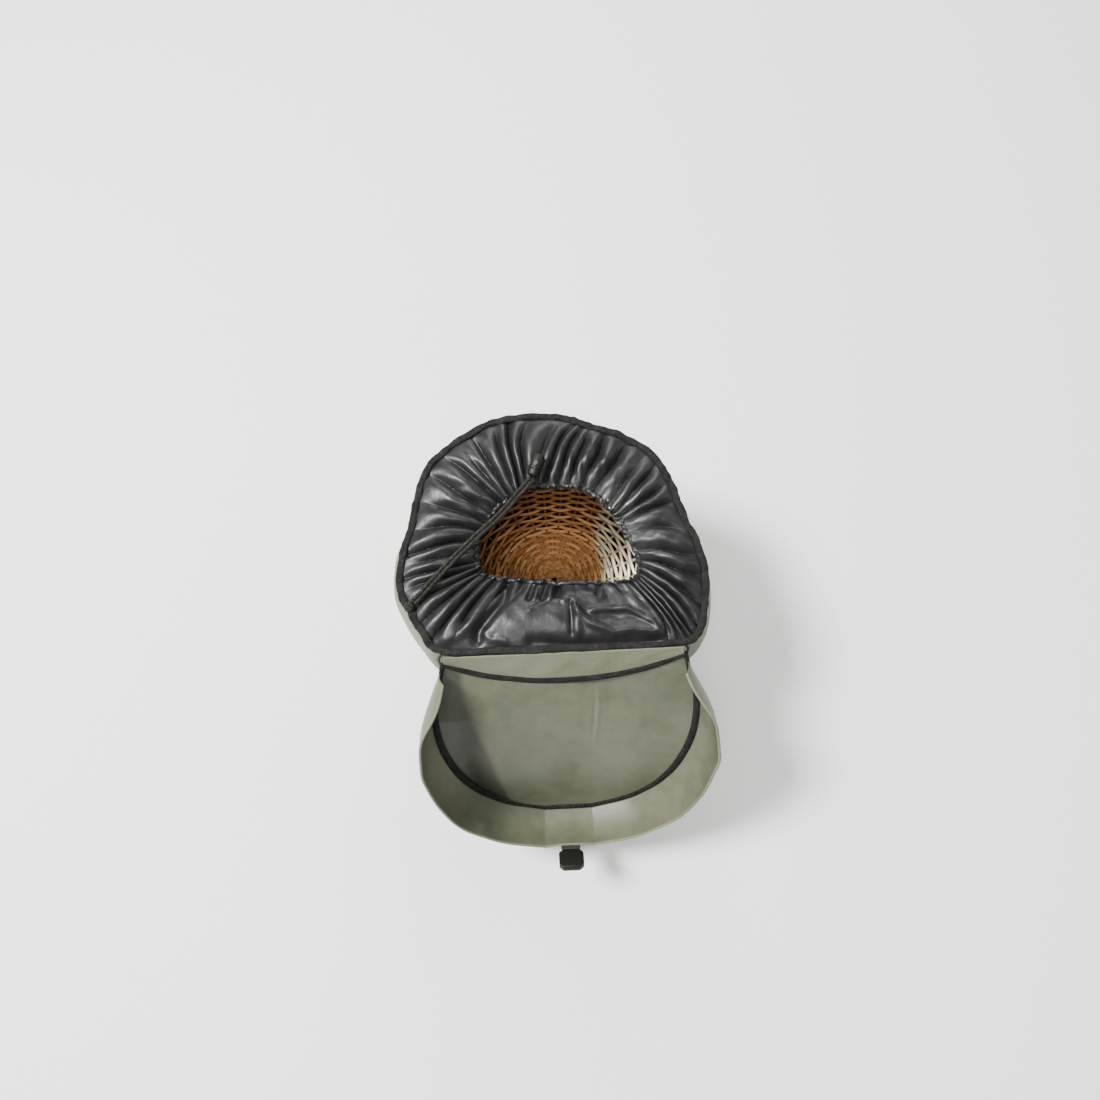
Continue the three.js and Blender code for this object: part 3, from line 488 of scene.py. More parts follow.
lockRings = turnedPoints(lock["place"], lock["heading"], np.array(lock["along"]) * lock["length"],
                         np.maximum(lock["radius"], 0.002) * lock["diameter"] / 2, 90, 32)
lockObject = finish(gridObject("lock_barrel", lockRings), "plastic", "plastic", "cord_lock")
buttonPlace = lock["place"] + upward * (lock["diameter"] / 2 - button["sunk"])
buttonRings = turnedPoints(buttonPlace, button["heading"], button["along"], button["radius"], 40, 24)
buttonObject = finish(gridObject("lock_spring_button", buttonRings), "metal", "metal", "lock_button")

for index, (strand, path, length) in enumerate(strands):
    pieces = (lockObject, buttonObject, knotObject) if index == 0 else ()
    [tuple(point) for point in path[::14]] + [tuple(path[-1])]
print("stage: cord")

# Bag outline. One row for each radial line of the collar: shares of the half sizes.
bag = {"width": 380 * mm, "depth": 295 * mm, "rimHeight": 305 * mm, "rimRise": 8 * mm,
       "ripple": 1.4 * mm, "rippleCount": 9}
mouth = {"width": 186 * mm, "depth": 121 * mm, "centreY": -5 * mm, "drop": 5 * mm}
outlineRows = np.array([
    # rimX, rimY, mouthX, mouthY
    (-0.03, 1.01, -0.05, 0.98), (-0.28, 1.0, -0.24, 0.985), (-0.465, 0.94, -0.45, 0.9),
    (-0.695, 0.74, -0.645, 0.695), (-0.825, 0.55, -0.8, 0.46), (-0.885, 0.31, -0.905, 0.18),
    (-0.92, 0.05, -0.98, -0.05), (-0.975, -0.19, -1.005, -0.28), (-0.985, -0.44, -1.0, -0.51),
    (-0.91, -0.66, -0.97, -0.69), (-0.83, -0.84, -0.86, -0.78), (-0.72, -0.965, -0.71, -0.82),
    (-0.4, -0.98, -0.39, -0.89), (0.0, -0.985, -0.02, -0.96), (0.4, -0.985, 0.345, -0.975),
    (0.735, -0.975, 0.67, -1.02), (0.83, -0.9, 0.9, -0.96), (0.885, -0.7, 0.985, -0.84),
    (0.905, -0.42, 0.995, -0.6), (0.87, -0.15, 0.945, -0.32), (0.8, 0.1, 0.86, -0.02),
    (0.76, 0.3, 0.795, 0.215), (0.705, 0.48, 0.71, 0.41), (0.615, 0.66, 0.6, 0.61),
    (0.44, 0.81, 0.45, 0.82), (0.27, 0.89, 0.28, 0.925), (0.12, 0.98, 0.12, 0.975),
])
rearLeft, rearRight = 11 / 27, 15 / 27
backY = -0.985 * bag["depth"] / 2


def rimHeightAt(y):
    return bag["rimHeight"] + bag["rimRise"] * (y / bag["depth"] + 0.5)


def rimAt(turn):
    flat = loopCurve(outlineRows[:, :2] * (bag["width"] / 2, bag["depth"] / 2), turn)
    rise = rimHeightAt(flat[..., 1]) + bag["ripple"] * np.sin(fullTurn * bag["rippleCount"] * turn)
    return np.concatenate([flat, rise[..., None]], -1)


def mouthAt(turn):
    flat = loopCurve(outlineRows[:, 2:] * (mouth["width"] / 2, mouth["depth"] / 2), turn)
    flat = flat + (0, mouth["centreY"])
    return np.concatenate([flat, (rimHeightAt(flat[..., 1]) - mouth["drop"])[..., None]], -1)


def inwardAt(turn):
    return unit((mouthAt(turn) - rimAt(turn)) * (1, 1, 0))


# Shell
shell = {
    "rows": 50,
    "heights": [0, 0.06, 0.22, 0.5, 0.78, 0.92, 1],
    "widths": [0.88, 0.93, 1.0, 1.06, 1.085, 1.06, 1.0],
    "depths": [0.88, 0.925, 0.98, 1.02, 1.035, 1.025, 1.0],
    "foot": 2.8 * mm, "top": 3.8 * mm, "wall": 2 * mm, "crumple": 2.5 * mm, "wrinkle": 1.1 * mm,
    "base": 2.5 * mm, "piping": 3.4 * mm, "pipingHeight": 3.2 * mm,
    "seam": 0.0008,  # half the gap between the two panels, as a share of a turn
}


# The rim's outline, spread by the section's shares, with waves that fade at the foot and the rim.
def shellAt(turn, height):
    rim = rimAt(turn)
    front = smoothStep(backY, 0, rim[..., 1])
    fade = np.sin(math.pi * np.clip(height, 0, 1))
    crumple = shell["crumple"] * front * np.sin(fullTurn * turn * 11 + 4 * height)
    wrinkle = shell["wrinkle"] * (0.35 + 0.65 * front) * waves(turn, height, 16, 2.2, seed=3)
    bulge = 1 + (crumple + wrinkle) * fade * 2 / bag["width"]
    wide = tableCurve(shell["heights"], shell["widths"], height)
    deep = tableCurve(shell["heights"], shell["depths"], height)
    x = rim[..., 0] * wide * bulge
    y = backY + (rim[..., 1] - backY) * deep * bulge
    y = y - 0.6 * wrinkle * fade * (1 - front)
    z = shell["foot"] + (rim[..., 2] - shell["top"] - shell["foot"]) * height
    return np.stack([x, y, z], -1)


def gridOver(columns, rows, firstU=0.0, lastU=1.0, loop=False):
    u = np.linspace(firstU, lastU, columns, endpoint=not loop)
    v = np.linspace(0, 1, rows)
    return np.meshgrid(u, v, indexing="ij")


# The shell's inner face is lined with a second, near-black cloth, which also stands in for the shade seen
# through the gaps of the weave.
def lined(obj, rows, lining):
    obj.data.materials.append(materials[lining])
    inner = np.arange(len(obj.data.polygons)) % (2 * rows) >= rows
    obj.data.polygons.foreach_set("material_index", inner.astype(np.int32))


turn, height = gridOver(300, shell["rows"], rearRight + shell["seam"], 1 + rearLeft - shell["seam"])
frontWall = sheetObject("shell_front", shellAt(turn, height), shell["wall"])
lined(finish(frontWall, "cloth", "olive_cloth", "front_wall"), shell["rows"], "innerCloth")
turn, height = gridOver(80, shell["rows"], rearLeft + shell["seam"], rearRight - shell["seam"])
backPanel = sheetObject("shell_back", shellAt(turn, height), shell["wall"])
lined(finish(backPanel, "cloth", "olive_cloth", "back_panel"), shell["rows"], "innerCloth")
turn, inset = gridOver(240, 12, loop=True)
foot = shellAt(turn, 0 * inset)
foot[..., :2] = foot[..., :2] * (1 - inset * 0.999)[..., None]
foot[..., 2] = shell["base"] / 2
base = sheetObject("shell_base", foot, shell["base"], loop=True)
finish(base, "cloth", "olive_cloth", "bottom_panel")


# Piping along a seam line, a round cord under cloth.
def pipingObject(name, path, diameter, look, slot, loop=False):
    along = tangents(path, loop)
    side = unit(np.cross(along, upward + np.array([0.01, 0.02, 0])))
    return finish(gridObject(name, roundTube(path, side, along, diameter, 10), loop=loop), look, slot)


seamHeights = np.linspace(0.01, 0.985, 120)
for name, at in (("left", rearLeft), ("right", rearRight)):
    seamLine = shellAt(np.full(120, at), seamHeights)
    pipingObject(f"side_seam_{name}", seamLine, shell["piping"], "tape", "black_binding")
turns = np.arange(400) / 400
footLine = shellAt(turns, np.zeros(400))
footLine[:, 2] = shell["pipingHeight"]
pipingObject("foot_seam", footLine, shell["piping"], "tape", "black_binding", loop=True)
print("stage: shell")

# Rim binding: a woven tape folded over the edge, with uneven puckers.
binding = {"width": 9.5 * mm, "height": 8 * mm, "pucker": 0.8 * mm}
turns = np.arange(1500) / 1500
rim = rimAt(turns)
rim[:, 2] += binding["pucker"] * waves(turns, 0, 60, 0, lowestU=12, seed=5)
inward = inwardAt(turns)
rim += inward * (binding["pucker"] * 0.8 * waves(turns, 0, 40, 0, lowestU=8, seed=6))[:, None]
bindingWidth = binding["width"] * (1 + 0.08 * waves(turns, 0, 90, 0, lowestU=20, seed=8))
rings = tubePoints(rim, inward, upward, bindingWidth, binding["height"], 20, 1.5)
finish(gridObject("rim_tape", rings, loop=True), "tape", "black_binding", "rim_binding")

# Collar. One row for each valley between two folds: its turn at the mouth and at the rim, its depth
# in millimetres and how far it reaches from the mouth towards the rim.
foldRows = np.array([
    # mouth, rim, depth, reach
    (0.016, -0.045, 5, 0.9), (0.035, -0.020, 4, 0.7), (0.056, 0.017, 6, 0.9), (0.070, 0.038, 7, 1.0),
    (0.082, 0.060, 5, 0.85), (0.094, 0.087, 6, 0.9), (0.104, 0.102, 4, 0.65), (0.116, 0.117, 6, 0.85),
    (0.149, 0.149, 5, 0.9), (0.171, 0.190, 4, 0.7), (0.197, 0.223, 5, 0.8), (0.228, 0.256, 7, 1.0),
    (0.262, 0.272, 4, 0.7), (0.290, 0.287, 6, 0.9), (0.308, 0.304, 5, 0.8), (0.326, 0.326, 6, 1.0),
    (0.344, 0.351, 6, 1.0), (0.367, 0.381, 6, 1.0), (0.393, 0.412, 5, 0.7), (0.417, 0.433, 5, 0.35),
    (0.437, 0.447, 4, 0.25), (0.460, 0.464, 4.5, 0.3), (0.482, 0.478, 4, 0.25), (0.500, 0.492, 2.5, 0.2),
    (0.534, 0.511, 4, 0.3), (0.556, 0.525, 3, 0.25), (0.575, 0.538, 3, 0.25), (0.588, 0.546, 5, 0.95),
    (0.599, 0.554, 5, 1.0), (0.609, 0.563, 5, 1.0), (0.620, 0.577, 5, 1.0), (0.634, 0.600, 5, 1.0),
    (0.650, 0.630, 5, 1.0),
    (0.671, 0.660, 5, 1.0), (0.696, 0.686, 7, 1.0), (0.736, 0.716, 5, 0.8), (0.768, 0.759, 5, 0.9),
    (0.786, 0.790, 5, 0.8), (0.807, 0.830, 6, 0.9), (0.840, 0.850, 4, 0.6), (0.883, 0.874, 7, 0.9),
    (0.914, 0.903, 6, 0.9), (0.948, 0.927, 5, 0.8), (0.980, 0.942, 5, 0.9),
])
collar = {"puff": 9 * mm, "wall": 0.9 * mm, "sharpness": 0.62, "swell": 0.16, "crease": 0.6 * mm,
          "ruffle": 1.5 * mm, "rimGap": 2.5 * mm, "mouthGap": 3.5 * mm}

# Single folds of the panel towards the wearer, in millimetres: a rise, a width and a line of points.
panelFolds = [
    (-7, 6, [(-60, -67), (-69, -90), (-86, -109), (-96, -122), (-97, -131)]),
    (4, 7, [(-68, -66), (-81, -89), (-105, -114), (-132, -130)]),
    (3, 24, [(-56, -112), (-34, -104), (-6, -108)]),
    (-5, 7.5, [(-34, -137), (8, -141), (60, -142), (108, -142)]),
    (4, 4.5, [(14, -97), (32, -118), (60, -129), (82, -127), (107, -131)]),
    (3.2, 3, [(35, -104), (47, -102), (78, -103), (86, -108), (105, -119), (115, -133)]),
    (-3, 7, [(45, -111), (95, -113)]),
    (1.2, 2, [(57, -117), (73, -119)]),
    (-3.5, 2.6, [(11.5, -92), (11, -129)]),
    (2.5, 4, [(19, -104), (19, -128)]),
    (1.6, 2.2, [(-36, -100), (-10, -87), (4, -91)]),
    (4, 9, [(10, -84), (40, -84)]),
    (2, 5, [(-90, -121), (-80, -131), (-66, -134)]),
    (-1.6, 2.6, [(-84, -125), (-79, -128)]),
    (-4.5, 3.2, [(-31, -68), (-37, -85)]),
    (3.5, 3.4, [(-23, -67), (-29, -86)]),
    (-4.5, 3.2, [(-15, -68), (-21, -86)]),
    (3.5, 3.4, [(-8, -67), (-13, -85)]),
    (-4.5, 3.2, [(0, -68), (-5, -84)]),
    (-4, 3, [(48, -68), (43, -84)]),
]


# The height of the folds: 0 on a crest and -depth in a valley, -depth (1 - sin(pi w)^sharpness),
# where w runs from 0 to 1 between two valleys. Wide folds swell upward between the rim and the mouth.
def foldHeight(turn, inward):
    rows = np.concatenate([foldRows[-1:] - (1, 1, 0, 0), foldRows, foldRows[:1] + (1, 1, 0, 0)])
    lines = rows[:, 1] + (rows[:, 0] - rows[:, 1]) * inward[..., None]
    turn = turn + 0.0022 * waves(turn, inward, 9, 1.5, seed=11)
    turn = lines[..., 0] + np.mod(turn - lines[..., 0], 1)
    k = np.clip((turn[..., None] >= lines).sum(-1) - 1, 0, len(rows) - 2)

    def pick(values, index):
        return np.take_along_axis(values, index[..., None], -1)[..., 0]

    left, right = pick(lines, k), pick(lines, k + 1)
    w = np.clip((turn - left) / (right - left), 0, 1)
    fade = smoothStep(0.78 - rows[:, 3], 1.2 - rows[:, 3], inward[..., None]) * rows[:, 2] * 1.25 * mm
    depth = pick(fade, k) + (pick(fade, k + 1) - pick(fade, k)) * smoothStep(0, 1, w)
    arch = np.sin(math.pi * w)
    span = (right - left) * 0.9
    panel = smoothStep(0.41, 0.44, turn) * smoothStep(-0.59, -0.56, -turn)
    swell = collar["swell"] * span * arch * np.sin(math.pi * np.clip(inward, 0, 1)) ** 0.8
    swell = swell * (1 - 0.75 * panel)
    ruffle = waves(turn, 0 * inward, 44, 0, terms=8, lowestU=26, seed=31)
    ruffle = collar["ruffle"] * ruffle * smoothStep(0.74, 0.96, inward)
    return swell + ruffle - depth * (1 - arch ** collar["sharpness"]) * (1 - 0.35 * inward**4)


# The lift of the single folds, rise exp(-(distance / width)^2), which fades at the rim.
def panelLift(point, inward):
    total = 0 * inward
    for rise, width, points in panelFolds:
        line = np.array(points) * mm
        nearest = 1 + total * 0
        for start, end in zip(line[:-1], line[1:]):
            run = end - start
            share = np.clip(((point[..., :2] - start) @ run) / (run @ run), 0, 1)
            gap = np.linalg.norm(point[..., :2] - start - share[..., None] * run, axis=-1)
            nearest = np.minimum(nearest, gap)
        total = total + rise * mm * np.exp(-(nearest / (width * mm)) ** 2)
    return total * smoothStep(-0.01, 0.03, inward) * (1 - 0.5 * smoothStep(0.9, 1, inward))


def collarAt(turn, inward):
    direction = inwardAt(turn)
    start = rimAt(turn) + direction * collar["rimGap"]
    end = mouthAt(turn) - direction * collar["mouthGap"]
    point = start + (end - start) * inward[..., None]
    crease = collar["crease"] * waves(turn, inward, 60, 4, terms=24, lowestU=8, seed=13)
    crease = crease * np.sin(math.pi * inward) ** 0.5 * (0.4 + inward)
    lift = collar["puff"] * np.sin(math.pi * inward) ** 0.8 + foldHeight(turn, inward) + crease
    point[..., 2] += lift + panelLift(point, inward)
    return point


turn, inward = gridOver(1000, 46, loop=True)
collarSheet = sheetObject("collar_cloth", collarAt(turn, inward), collar["wall"], loop=True)
finish(collarSheet, "nylon", "black_nylon", "collar")

# Hem: the ruffled channel round the mouth.
hem = {"width": 7 * mm, "height": 9 * mm, "pinch": 1.3 * mm, "sway": 0.9 * mm}
turns = np.arange(1600) / 1600
middle = mouthAt(turns)
direction = inwardAt(turns)
middle -= direction * hem["width"] / 2
pinch = waves(turns, 0, 64, 0, terms=10, lowestU=32, seed=17)
middle[:, 2] += foldHeight(turns, np.ones(1600)) * 0.9 + hem["pinch"] * pinch
middle += direction * (hem["sway"] * waves(turns, 0, 90, 0, terms=10, lowestU=30, seed=18))[:, None]
rings = tubePoints(middle, direction, upward,
                   hem["width"] * (1 + 0.24 * waves(turns, 0, 80, 0, lowestU=36, seed=19)),
                   hem["height"] * (1 + 0.2 * waves(turns, 0, 80, 0, lowestU=36, seed=20)), 14)
finish(gridObject("mouth_hem", rings, loop=True), "nylon", "black_nylon", "collar_hem")
print("stage: collar")

# Basket
basket = {
    "width": 296 * mm, "depth": 252 * mm, "centreY": 5 * mm, "height": 260 * mm, "foot": 2.8 * mm,
    "power": 2.5, "floorDiameter": 150 * mm, "floorX": -3 * mm, "floorY": 17 * mm,
    "heights": [0, 0.06, 0.125, 0.17, 0.23, 0.31, 0.42, 0.6, 0.82, 1],
    "spreads": [0.06, 0.02, 0.03, 0.3, 0.54, 0.76, 0.93, 1.02, 1.02, 1],
    "pitches": (5.4 * mm, 7.9 * mm), "rod": 4.2 * mm, "covers": (0.95, 0.57), "stakes": 30,
    "stake": (2.4 * mm, 4.0 * mm), "weaves": (1.5 * mm, 2.6 * mm), "floorRow": 0.115, "open": (0.05, 0.25),
    "jitter": 0.001,
}


# The wall's middle: a rounded oval, spread from the floor's circle to the rim's outline.
def basketAt(turn, height):
    angle = fullTurn * turn
    across, along = np.cos(angle), np.sin(angle)
    power = basket["power"]
    reach = (np.abs(across * 2 / basket["width"]) ** power
             + np.abs(along * 2 / basket["depth"]) ** power) ** (-1 / power)
    spread = tableCurve(basket["heights"], basket["spreads"], height)
    floorRadius = basket["floorDiameter"] / 2
    x = basket["floorX"] + across * floorRadius
    y = basket["floorY"] + along * floorRadius
    x = x + (across * reach - x) * spread
    y = y + (basket["centreY"] + along * reach - y) * spread
    return np.stack([x, y, basket["foot"] + height * basket["height"] + 0 * x], -1)


def basketNormal(turn, height):
    step = 1e-3
    alongU = basketAt(turn + step, height) - basketAt(turn - step, height)
    alongV = basketAt(turn, np.minimum(height + step, 1)) - basketAt(turn, np.maximum(height - step, 0))
    return unit(np.cross(alongU, alongV))


# The first value of a pair in the bowl and the second in the upright wall.
def bowlToWall(pair, height):
    return pair[0] + (pair[1] - pair[0]) * smoothStep(*basket["open"], height)


# Rows lie on the slope from the floor's edge up, tight in the bowl and open in the upright wall.
turns = np.arange(basket["stakes"] * 8) / (basket["stakes"] * 8)
fine = np.linspace(basket["floorRow"], 1, 600)
slope = basketAt(turns[:, None], fine[None] + 0 * turns[:, None])
steps = np.linalg.norm(np.diff(slope, axis=1), axis=-1) / bowlToWall(basket["pitches"], fine[1:])
climb = np.concatenate([np.zeros((len(turns), 1)), np.cumsum(steps, axis=1)], 1)
rowCount = int(climb[:, -1].mean())
shares = (np.arange(rowCount) + 0.5) / rowCount
height = np.stack([np.interp(shares * line[-1], line, fine) for line in climb], 1)
turn = np.broadcast_to(turns, (rowCount, len(turns)))
step = bowlToWall(basket["pitches"], height) * climb[:, -1] / rowCount
row = np.arange(rowCount)[:, None]
jitter = basket["jitter"] * waves(turn + row * 0.37, height * 9, 12, 3, seed=23)
height = np.clip(height + jitter, basket["floorRow"] - 0.003, 0.999)
swing = np.cos(math.pi * (basket["stakes"] * turn + row))
normal = basketNormal(turn, height)
path = basketAt(turn, height) - normal * (bowlToWall(basket["weaves"], height) * swing)[..., None]
along = tangents(path, loop=True)
above = unit(np.cross(normal, along))
thick = 1 + 0.1 * waves(turn + row * 0.61, height * 7, 6, 2, seed=24)
rings = tubePoints(path, unit(np.cross(along, above)), above, basket["rod"] * thick,
                   step * bowlToWall(basket["covers"], height) * thick, 8)
# Painted shade where a rod swings out behind a stake, fading out low in the bowl.
weavers = gridObject("basket_weavers", rings, loop=True, tone=random.random(rowCount),
                     paintedShade=(0.5 - swing / 2) * smoothStep(0.06, 0.3, height))
finish(weavers, "willow", "willow", "basket_wall", "basket_bowl")
print(f"basket rows: {rowCount}")

heights = np.linspace(0.002, 0.998, 90)
turn, height = np.meshgrid(np.arange(basket["stakes"]) / basket["stakes"], heights, indexing="ij")
normal = basketNormal(turn, height)
path = basketAt(turn, height)
rings = tubePoints(path, normal, unit(np.cross(normal, tangents(path))), *basket["stake"], 8)
# The stakes carry painted shade along their whole length.
stakes = gridObject("basket_stakes", rings, tone=0.4 * random.random(basket["stakes"]),
                    paintedShade=np.full(basket["stakes"], 0.75))
finish(stakes, "willow", "willow")

# Basket rim: three rods twisted round each other.
border = {"strands": 3, "twists": 34, "reach": 3.6 * mm, "rod": 7 * mm, "lift": 6.8 * mm}
turns = np.arange(800) / 800
turn = np.broadcast_to(turns, (border["strands"], 800))
phase = fullTurn * (border["twists"] * turn + np.arange(border["strands"])[:, None] / border["strands"])
out = basketNormal(turn, np.ones_like(turn)) * (1, 1, 0)
path = basketAt(turn, np.ones_like(turn)) + out * (border["reach"] * np.cos(phase))[..., None]
path = path + upward * (border["lift"] + border["reach"] * 0.9 * np.sin(phase))[..., None]
along = tangents(path, loop=True)
rings = roundTube(path, unit(np.cross(along, upward)), along, border["rod"], 10)
finish(gridObject("basket_border", rings, loop=True, tone=random.random(3)), "willow", "willow", "basket_rim")

# Basket floor: rods woven in rings over spokes, on a low dome.
floor = {"spokes": 24, "pitch": 5 * mm, "radius": 73 * mm, "height": 35 * mm, "dome": 8 * mm,
         "weave": 1.7 * mm, "ring": (5 * mm, 3.8 * mm), "ringLift": 2 * mm,
         "spoke": (4.4 * mm, 3 * mm), "spokeLift": 0.6 * mm}


def floorAt(angle, radius):
    lift = floor["height"] + floor["dome"] * (1 - (radius / floor["radius"]) ** 2)
    x = basket["floorX"] + radius * np.cos(angle)
    return np.stack([x, basket["floorY"] + radius * np.sin(angle), lift + 0 * x], -1)


ringRadii = np.arange(floor["radius"], 10 * mm, -floor["pitch"])
turn, radius = np.meshgrid(np.arange(384) / 384, ringRadii, indexing="xy")
ring = np.arange(len(ringRadii))[:, None]
swing = np.cos(math.pi * (floor["spokes"] * turn + ring))
path = floorAt(fullTurn * turn, radius) + upward * (floor["weave"] * swing + floor["ringLift"])[..., None]
side = unit(np.cross(tangents(path, loop=True), upward))
rings = tubePoints(path, side, upward, *floor["ring"], 6)
# Painted shade on the floor rings: a little everywhere, and more where a ring dips under a spoke.
floorRings = gridObject("floor_rings", rings, loop=True, tone=random.random(len(ringRadii)),
                        paintedShade=0.35 + 0.4 * smoothStep(0.2, 1, -swing))
finish(floorRings, "willow", "willow", "basket_floor")
radius, angle = np.meshgrid(np.linspace(4 * mm, floor["radius"], 40),
                            fullTurn * np.arange(floor["spokes"]) / floor["spokes"], indexing="xy")
path = floorAt(angle, radius) + upward * floor["spokeLift"]
side = unit(np.cross(tangents(path), upward))
rings = tubePoints(path, side, upward, *floor["spoke"], 8)
finish(gridObject("floor_spokes", rings, tone=random.random(floor["spokes"])), "willow", "willow")
print("stage: basket")

# Lid. Its panel hangs from the gusset, with its inside facing up and out.
lid = {
    "width": 320 * mm, "length": 245 * mm, "wallHeight": 55 * mm, "dish": 12 * mm,
    "gussetOut": 22 * mm, "gussetDrop": 45 * mm, "cornerOut": 4 * mm, "cornerDrop": 12 * mm,
    "cornerReach": 65 * mm, "hingeX": 1.425 * mm, "hingeY": -150.1 * mm, "hingeLift": 1.75 * mm,
    "cloth": 1.6 * mm, "edge": 3.2 * mm, "seam": (9.5 * mm, 6 * mm), "seamInset": 3.5 * mm,
    "seamLift": 0.9 * mm, "wallFoot": 2 * mm, "wallWave": 0.9 * mm, "bow": 5 * mm,
    "gusset": 1.2 * mm, "sag": 1.2 * mm, "sagWave": 0.9 * mm,
    "downs": [0, 0.12, 0.3, 0.5, 0.68, 0.82, 0.93, 1],
    "halves": [0.88, 0.975, 1.0, 0.94, 0.82, 0.66, 0.45, 0.2],
    "outs": [0, 0.075, 0.19, 0.31, 0.41, 0.48, 0.532, 0.563],
    "drops": [0, 0.092, 0.23, 0.39, 0.54, 0.66, 0.757, 0.82],
    "arounds": [0, 0.04, 0.1, 0.19, 0.32, 0.5, 0.68, 0.81, 0.9, 0.96, 1],
    "wallHeights": [0.25, 0.8, 1, 1, 1, 1, 1, 1, 1, 0.8, 0.25],
    "leans": [14, 5, -8, -13, -14, 4, -14, -18, -12, 0, 20],
}


def lidCurve(name, down):
    return tableCurve(lid["downs"], lid[name], down)


def lidNormal(down):
    step = 0.02
    near = np.clip(down, step, 1 - step)
    run = lidCurve("outs", near + step) - lidCurve("outs", near - step)
    fall = lidCurve("drops", near + step) - lidCurve("drops", near - step)
    return unit(np.stack([0 * run, -fall, run], -1))


# across runs from -1 to 1 and down from 0 at the hinge to 1 at the far end.
def lidAt(across, down):
    half = lidCurve("halves", down)
    lifted = np.abs(across) ** 2.2 * np.exp(-down * lid["length"] / lid["cornerReach"])
    x = lid["hingeX"] + across * half * lid["width"] / 2
    y = lid["hingeY"] - lid["gussetOut"] - lidCurve("outs", down) * lid["length"]
    y = y + lifted * (lid["gussetOut"] - lid["cornerOut"])
    z = bag["rimHeight"] - lid["gussetDrop"] - lidCurve("drops", down) * lid["length"]
    z = z + lifted * (lid["gussetDrop"] - lid["cornerDrop"])
    dished = np.abs(across * half) ** 2.6 * np.minimum(1, down * 4)
    return np.stack([x, y, z], -1) + lidNormal(down) * (lid["dish"] * dished)[..., None]


# Soft dents of the hanging panel, as rows: across, down, width, length, turn in degrees, height.
lidFolds = np.array([
    (0.22, 0.24, 0.014, 0.20, 4, -2.2), (0.235, 0.25, 0.02, 0.2, 4, 1.6),
    (0.5, 0.14, 0.12, 0.6, -52, -3.5), (0.25, 0.42, 0.14, 0.7, -52, 3.0),
    (-0.62, 0.45, 0.2, 0.9, 12, 3.0), (-0.85, 0.5, 0.12, 0.9, 12, -3.0),
    (-0.2, 0.2, 0.3, 0.25, 70, 2.0), (0.05, 0.62, 0.3, 0.3, 60, -2.0), (0.6, 0.6, 0.25, 0.5, -20, 2.0),
])


def lidDents(across, down):
    total = 0
    for a, d, width, length, turned, rise in lidFolds:
        cosine, sine = math.cos(math.radians(turned)), math.sin(math.radians(turned))
        x, y = across - a, (down - d) * 1.5
        s, t = x * cosine + y * sine, -x * sine + y * cosine
        total = total + rise * mm * np.exp(-(s / width) ** 2 - (t / length) ** 2)
    return total


# Where the dark band along the lid's left wall ends, as a share across: a painted shadow that the wall casts
# on the panel.
def lidPaintedShadowEdge(down):
    return tableCurve([0, 0.25, 0.6, 0.8, 1], [-0.86, -0.72, -0.66, -0.75, -1.1], down)


def lidSeamAt(around):
    side = 0.44
    across = np.interp(around, [0, side, 1 - side, 1], [-1, -1, 1, 1])
    down = np.interp(around, [0, side, 1 - side, 1], [0, 1, 1, 0])
    return across, down


def lidWallAt(around, above):
    across, down = lidSeamAt(around)
    lean = np.radians(tableCurve(lid["arounds"], lid["leans"], around))[..., None]
    normal = lidNormal(down)
    inward = lidAt(0 * across, np.minimum(0.45, down)) - lidAt(across, down)
    inward = unit(inward - normal * (inward * normal).sum(-1, keepdims=True))
    share = tableCurve(lid["arounds"], lid["wallHeights"], around)[..., None]
    above = above[..., None]
    rise = lid["wallFoot"] + (lid["wallHeight"] * share - lid["wallFoot"]) * above
    wave = lid["wallWave"] * above * waves(around[..., None], above * 0.5, 13, 1, seed=31)
    bow = lid["bow"] * share * np.sin(math.pi * above) - wave
    return (lidAt(across, down) + normal * (rise * np.cos(lean) + bow * np.sin(lean))
            + inward * (rise * np.sin(lean) - bow * np.cos(lean)))


across, down = gridOver(150, 120, -1, 1)
down = 0.006 + down * 0.985
across = across * 0.985
panel = lidAt(across, down)
panel += lidNormal(down) * lidDents(across, down)[..., None]
# Painted shadow: the panel darkens to the left of that edge, as if it lay in the wall's shadow.
shade = 1 - smoothStep(-0.03, 0.05, across - lidPaintedShadowEdge(down))
panelSheet = sheetObject("lid_cloth", panel, lid["cloth"], paintedShade=shade)
finish(panelSheet, "coating", "olive_coating", "lid_panel")
around, above = gridOver(420, 26, 0.012, 0.988)
wallSheet = sheetObject("lid_side", lidWallAt(around, above), lid["cloth"])
finish(wallSheet, "coating", "olive_cloth", "lid_wall")
around = np.linspace(0.012, 0.988, 420)
pipingObject("lid_edge", lidWallAt(around, np.ones(420)), lid["edge"], "cloth", "olive_cloth")

# The bound seam runs round the panel and back along the hinge. On the sides it is set inwards.
around = np.linspace(0, 1, 600)
across, down = lidSeamAt(around)
hingeAcross = np.linspace(1, -1, 200)[1:-1]
seamLine = lidAt(np.concatenate([across, hingeAcross]), np.concatenate([down, 0 * hingeAcross]))
middle = lidAt(np.zeros(len(seamLine)), np.full(len(seamLine), 0.45))
inset = lid["seamInset"] * smoothStep(0, 0.03, np.minimum(around, 1 - around))
inset = np.concatenate([inset, 0 * hingeAcross])[:, None]
lifting = lidNormal(np.full(len(seamLine), 0.5))
seamLine = seamLine + unit(middle - seamLine) * inset + lifting * lid["seamLift"]
along = tangents(seamLine, loop=True)
side = unit(np.cross(along, lifting))
